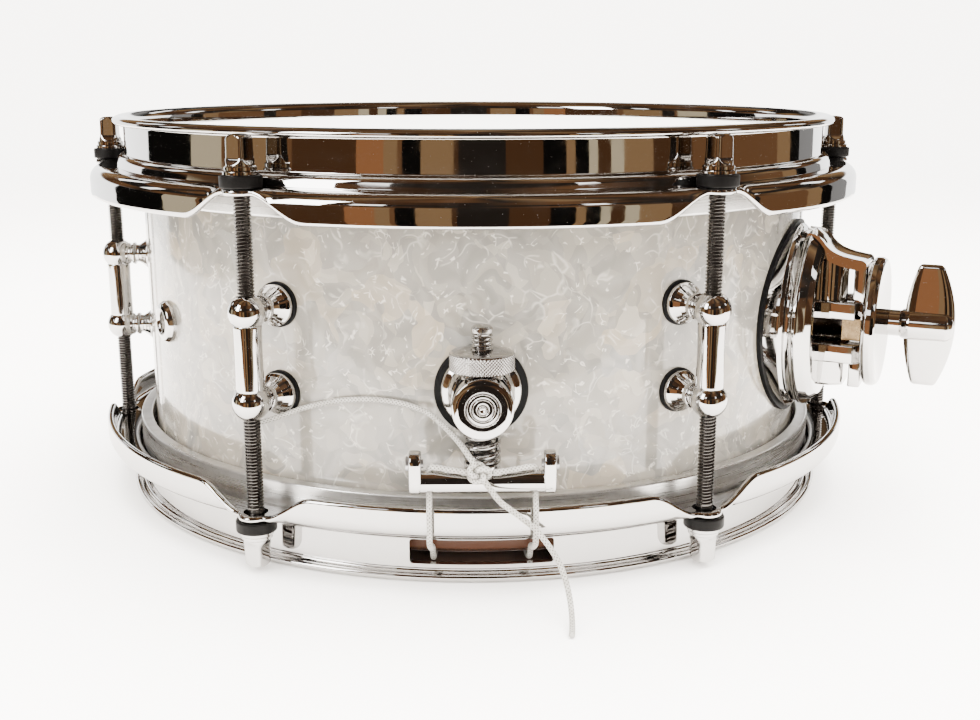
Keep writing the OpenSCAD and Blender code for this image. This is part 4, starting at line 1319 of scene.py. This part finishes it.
def build_bracket():
    """Gasket, domed base, clamp round the arm's bore, top plate, end disc and wing screw.
    The core and a thin wall the CAD does not have, which closes the window beside the bore, are
    near-black chrome put there as painted shade for the shadowed recess."""
    place = azimuth_frame(BRACKET_AZ)
    b = WRAP_R
    pad_r = DOME_R + 1.5 * MM
    pad = rounded([(0, b - 9 * MM), (pad_r, b - 9 * MM), (pad_r, b + 1.45 * MM, 0.5 * MM),
                   (0, b + 1.45 * MM)], 5)
    verts, faces = lathe([(r, x) for r, x in pad], 160)
    turned = [along_x(BRACKET_Z) @ Vector(v) for v in verts]
    shaped = []
    for v in turned:
        inner = math.sqrt(WRAP_R ** 2 - min(v.y, DOME_R * 1.06) ** 2) + 0.02 * MM
        shaped.append((inner + (1.45 * MM if v.x > b else 0.0), v.y, v.z))
    make_object("bracket_pad", Shape().add(shaped, faces, place), RUBBER,
                replaces=("bracket_gasket",))

    shape = Shape()
    outline = [(0, b - 9 * MM)] + dome_profile() + [(0, b + 12.5 * MM)]
    verts, faces = lathe(rounded(outline, 6), 160)
    turned = [along_x(BRACKET_Z) @ Vector(v) for v in verts]
    shape.add(draped(turned, WRAP_R + 1.5 * MM), faces, place)
    for z0, z1 in BARREL_ENDS:
        shape.add(*clamp_barrel(z0, z1), place)
    mirror = Matrix.Scale(-1, 4, (0, 1, 0))
    for z0, z1, pocket in BARS:
        verts, faces = clamp_bar(z0, z1, pocket)
        shape.add(verts, faces, place)
        shape.add(verts, faces, place @ mirror)
    for z0, z1 in (BARREL_ENDS[0], (BARREL_ENDS[1][0], 89.2 * MM)):
        shape.add(*box_slab(b + 22.6 * MM, b + 26.8 * MM, 8 * MM, z0, z1, 0.6 * MM), place)
    # painted shade: the inner block and the wall are near-black chrome, standing for the shadow in
    # the recess beside the bore
    core = box_slab(b + 5 * MM, b + 8.6 * MM, 7.5 * MM, 54 * MM, 88.5 * MM)
    wall = rounded([(b + 8 * MM, 6.6 * MM), (b + 20.4 * MM, 6.6 * MM),
                    (b + 20.4 * MM, 9 * MM, MM), (b + 8 * MM, 9 * MM)], 3)
    inside = Shape().add(*core, place).add(*slab(wall, 61 * MM, 71.5 * MM, 0.1 * MM, 1), place)
    make_object("bracket_core_painted_shade", inside, PAINTED_SHADE_CHROME)
    shape.add(*slab(brow_outline(), -9.5 * MM, 9.5 * MM, 0.5 * MM, 4), place @ along_y())
    make_object("bracket_body", shape, CAST_CHROME,
                replaces=("bracket_base",))

    x0, x1 = CAP_X
    disc = in_mm([(4.7, 0), (19.9, 0, 0.8), (22.2, 0.6, 0.8), (22.9, 1.7, 0.8)], x0)
    disc += in_mm([(22.9, -1.5, 1), (22.3, -0.4, 0.4), (21.6, 0, 0.3), (20.7, -0.1, 0.3),
                   (8.5, -3, 0.8), (6.5, -3, 0.3), (4.7, -3)], x1)
    make_object("bracket_disc",
                Shape().add(*lathe(rounded(disc, 6), 128), place @ along_x(BRACKET_Z)),
                CAST_CHROME, replaces=("bracket_cap",))
    build_wing(place)


def build_wing(place):
    """The wing screw: a round neck and hub, and one blade, thick in the middle."""
    x0, x1 = WING_X
    shape = Shape()
    low = CAP_X[0] + 1.6 * MM
    neck = in_mm([(0, 0), (4.6, 0)], low)
    neck += in_mm([(4.6, -1.2, 0.3), (5.2, -0.4, 0.4), (5.7, 2, 1)], x0)
    neck += in_mm([(5.5, -2.5, 2), (4, -0.6, 1.2), (0, -0.1)], x1)
    shape.add(*lathe(rounded(neck, 6), 64), place @ along_x(BRACKET_Z))
    half = 21.5 * MM
    rows, around = 56, 40
    verts = []
    for i in range(rows + 1):
        t = math.sin(math.pi / 2 * (2 * i / rows - 1))
        h = abs(t)
        near = x0 + 3.9 * MM * h ** 2
        far = x1 - 5.3 * MM * h ** 2
        end = max(0.0, (h - 0.93) / 0.07)
        close = math.sqrt(max(0.0, 1 - end ** 2.4))
        w = (far - near) / 2 * (0.72 + 0.28 * close)
        thick = (3.2 - 1.9 * h) * MM * max(0.04, close)
        for k in range(around):
            a = TAU * k / around
            px = math.copysign(abs(math.cos(a)) ** 0.35, math.cos(a))
            py = math.copysign(abs(math.sin(a)) ** 0.55, math.sin(a))
            verts.append(((far + near) / 2 + w * px, thick * py, BRACKET_Z + half * t))
    faces = grid(rows + 1, around)
    faces.append(tuple(range(around))[::-1])
    faces.append(tuple(rows * around + k for k in range(around)))
    shape.add(verts, faces, place)
    make_object("bracket_wing_blade", shape, CAST_CHROME, "bracket_wing",
                ("bracket_wing_screw",), crease=50)


# -------- snares
def build_wires():
    """Twelve close-wound coils between the two end plates."""
    low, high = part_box("snare_wires")
    count = 12
    coil_r = 0.9 * MM
    wire = 0.3 * MM
    z = (low.z + high.z) / 2
    pitch_x = (high.x - low.x - 2 * coil_r) / (count - 1)
    turn = 1.35 * MM
    per = 9
    steps = int((high.y - low.y) / turn * per)
    path = []
    for k in range(steps + 1):
        a = TAU * k / per
        path.append(Vector(((coil_r - wire) * math.cos(a), low.y + (high.y - low.y) * k / steps,
                            (coil_r - wire) * math.sin(a))))
    coil = sweep(path, wire, 5)
    shape = Shape()
    for i in range(count):
        shape.add(*coil, at(low.x + coil_r + pitch_x * i, 0, z))
    make_object("snare_coils", shape, SNARE_STEEL, replaces=("snare_wires",),
                crease=80)


# -------- the rest of the CAD nodes
def finish_cad_nodes():
    looks = {"shell": WOOD, "lug_screws": SCREW_STEEL, "strainer_screws": SCREW_STEEL,
             "bracket_screws": SCREW_STEEL, "bracket_jaw": JAW_BRASS,
             "butt_bar_screws": SCREW_STEEL, "throwoff_bar_screws": SCREW_STEEL,
             "snare_end_plates": SNARE_STEEL}
    for node, material in looks.items():
        mesh = NODES[node].data
        mesh.materials.clear()
        mesh.materials.append(material)


# -------- world, floor and lights
def build_world():
    """Pale for the eye and for soft light. Polished metal sees a dim, warm room in front
    of the drum, with panels and windows, and a white backdrop behind it."""
    world = bpy.data.worlds.new("studio")
    world.use_nodes = True
    bpy.context.scene.world = world
    graph = Graph(world.node_tree)
    graph.tree.nodes.clear()
    x, y, z = graph.node("SeparateXYZ", Vector=graph.node("TexCoord", "Generated")).node.outputs
    around = graph.math("ARCTAN2", x, graph.math("MULTIPLY", y, -1.0))
    turn = graph.math("ADD", graph.math("DIVIDE", around, TAU), 0.5)
    height = graph.math("ADD", graph.math("DIVIDE", graph.math("ARCSINE", z), math.pi), 0.5)

    black, soot = (0.008, 0.007, 0.006), (0.03, 0.023, 0.018)
    umber, brown = (0.11, 0.05, 0.022), (0.24, 0.115, 0.05)
    gold, sand = (0.42, 0.25, 0.12), (0.60, 0.50, 0.33)
    orange, grey = (0.50, 0.21, 0.085), (0.40, 0.39, 0.38)
    white = (0.92, 0.915, 0.90)
    panels = graph.ramp(
        turn, (0.000, white), (0.150, black), (0.225, sand), (0.262, brown),
        (0.268, soot), (0.282, gold), (0.330, brown), (0.338, umber), (0.395, orange),
        (0.420, gold), (0.432, brown), (0.436, black), (0.452, gold), (0.478, umber),
        (0.484, soot), (0.516, soot), (0.520, umber), (0.552, black), (0.572, gold),
        (0.580, black), (0.592, sand), (0.600, umber), (0.612, sand), (0.625, gold),
        (0.652, umber), (0.690, brown), (0.722, soot), (0.735, brown), (0.800, gold),
        (0.822, black), (0.840, grey), (0.880, white), curve="CONSTANT")
    above = graph.ramp(
        turn, (0.0, grey), (0.03, soot), (0.07, gold), (0.11, umber), (0.15, brown), (0.19, soot),
        (0.22, brown), (0.30, soot), (0.36, brown), (0.42, umber), (0.50, soot),
        (0.58, brown), (0.66, soot), (0.74, umber), (0.79, gold), (0.82, soot),
        (0.86, brown), (0.89, soot), (0.93, gold), (0.96, black), (1, grey))
    lamps = graph.ramp(
        turn, (0.0, soot), (0.09, white), (0.11, soot), (0.17, white), (0.19, soot),
        (0.29, white), (0.31, soot), (0.395, white), (0.425, soot), (0.56, soot),
        (0.585, white), (0.605, soot), (0.73, white), (0.75, soot), (0.85, white),
        (0.87, umber), (0.95, white), (0.97, soot), curve="CONSTANT")
    ceiling = graph.ramp(
        turn, (0.0, gold), (0.08, umber), (0.16, brown), (0.25, soot), (0.33, gold), (0.40, umber),
        (0.47, brown), (0.53, soot), (0.6, gold), (0.68, soot), (0.76, brown), (0.84, umber),
        (0.92, soot), (1.0, gold))
    floor = graph.ramp(
        turn, (0.0, white), (0.15, white), (0.19, umber), (0.36, soot), (0.44, brown), (0.5, soot),
        (0.57, umber), (0.68, brown), (0.76, soot), (0.83, grey), (0.89, white),
        (1.0, white))

    def band(low, high, soft=0.008):
        """1 between two heights in degrees above the horizon, 0 outside."""
        a, b = 0.5 + low / 180, 0.5 + high / 180
        return graph.math("MULTIPLY",
                          graph.remap(height, a - soft, a + soft, 0, 1, "SMOOTHSTEP"),
                          graph.remap(height, b - soft, b + soft, 1, 0, "SMOOTHSTEP"))

    room = graph.mix(band(-38, 11), floor, panels)
    room = graph.mix(band(11, 50), room, above)
    room = graph.mix(band(20, 29, 0.003), room, lamps)
    room = graph.mix(band(50, 91), room, ceiling)
    lift = graph.remap(graph.node("RGBToBW", Color=room), 0.45, 0.9, 1.0, SEEN_LIGHT)
    seen = graph.node("Background", Color=room, Strength=lift)
    pale = graph.node("Background", Color=WALL_TINT, Strength=WALL_LIGHT)
    pick = graph.node("MixShader", i0=graph.node("LightPath", "Is Glossy Ray"), i1=pale, i2=seen)
    graph.put(graph.tree.nodes.new("ShaderNodeOutputWorld").inputs[0], pick)


def floor_piece(name, outline_in, outline_out):
    """A flat piece of floor; the gap between the outlines, or the inside of one."""
    verts = [(x, y, 0) for x, y in outline_out]
    if outline_in:
        n = len(outline_out)
        verts += [(x, y, 0) for x, y in outline_in]
        faces = [(k, (k + 1) % n, n + (k + 1) % n, n + k) for k in range(n)]
    else:
        faces = [tuple(range(len(outline_out)))]
    mesh = bpy.data.meshes.new(name)
    mesh.from_pydata(verts, [], faces)
    mesh.materials.append(FLOOR)
    obj = linked(name, mesh)
    return obj


def build_floor():
    """One pale floor. Polished metal only sees the near part of it, which ends in front."""
    front, side, back, far = -0.335, 0.62, 0.75, 9.0
    near = [(-side, front), (side, front), (side, back), (-side, back)]
    rim = [(-far, -far), (far, -far), (far, far), (-far, far)]
    floor_piece("floor_near", None, near)
    outer = floor_piece("floor_far", near, rim)
    outer.visible_glossy = False


def add_area(name, where, aim, size, power, colour, glossy=True):
    data = bpy.data.lights.new(name, "AREA")
    data.shape = "RECTANGLE"
    data.size, data.size_y = size
    data.energy = power
    data.color = colour
    lamp = linked(name, data)
    lamp.location = where
    lamp.rotation_euler = (Vector(aim) - Vector(where)).to_track_quat("-Z", "Y").to_euler()
    lamp.visible_glossy = glossy


def build_lights():
    add_area("overhead", (0.15, 0.1, 1.5), (0, 0, 0.05), (1.6, 1.6), 200, (1, 0.985, 0.96),
             glossy=False)
    add_area("window_left", (-1.2, -1.0, 0.9), (0, 0, 0.07), (0.5, 0.9), 26, (1, 0.99, 0.97))
    add_area("fill_front", (0.5, -1.5, 0.8), (0, 0, 0.07), (1.2, 0.8), 34, (1, 0.97, 0.93),
             glossy=False)


# -------- putting it together
build_cords()
build_hoop("hoop_batter", "batter_hoop", Matrix.Identity(4), False)
build_hoop("hoop_snare_side", "snare_side_hoop", flipped(), True)
build_head("head_batter", "batter_head", Matrix.Identity(4), HEAD_WHITE)
build_head("head_snare_side", "snare_side_head", flipped(), HEAD_CLEAR)
build_flesh_hoop("flesh_hoop_batter", "batter_flesh_hoop", Matrix.Identity(4))
build_flesh_hoop("flesh_hoop_snare_side", "snare_side_flesh_hoop", flipped())
build_wrap()
build_rods()
build_washers()
build_lugs()
build_vent()
build_strainer("butt", 0, "butt_bar")
build_strainer("throwoff", 180, "throwoff_bar")
build_butt_knob()
build_lever()
build_bracket()
build_wires()
finish_cad_nodes()
build_world()
build_floor()
build_lights()
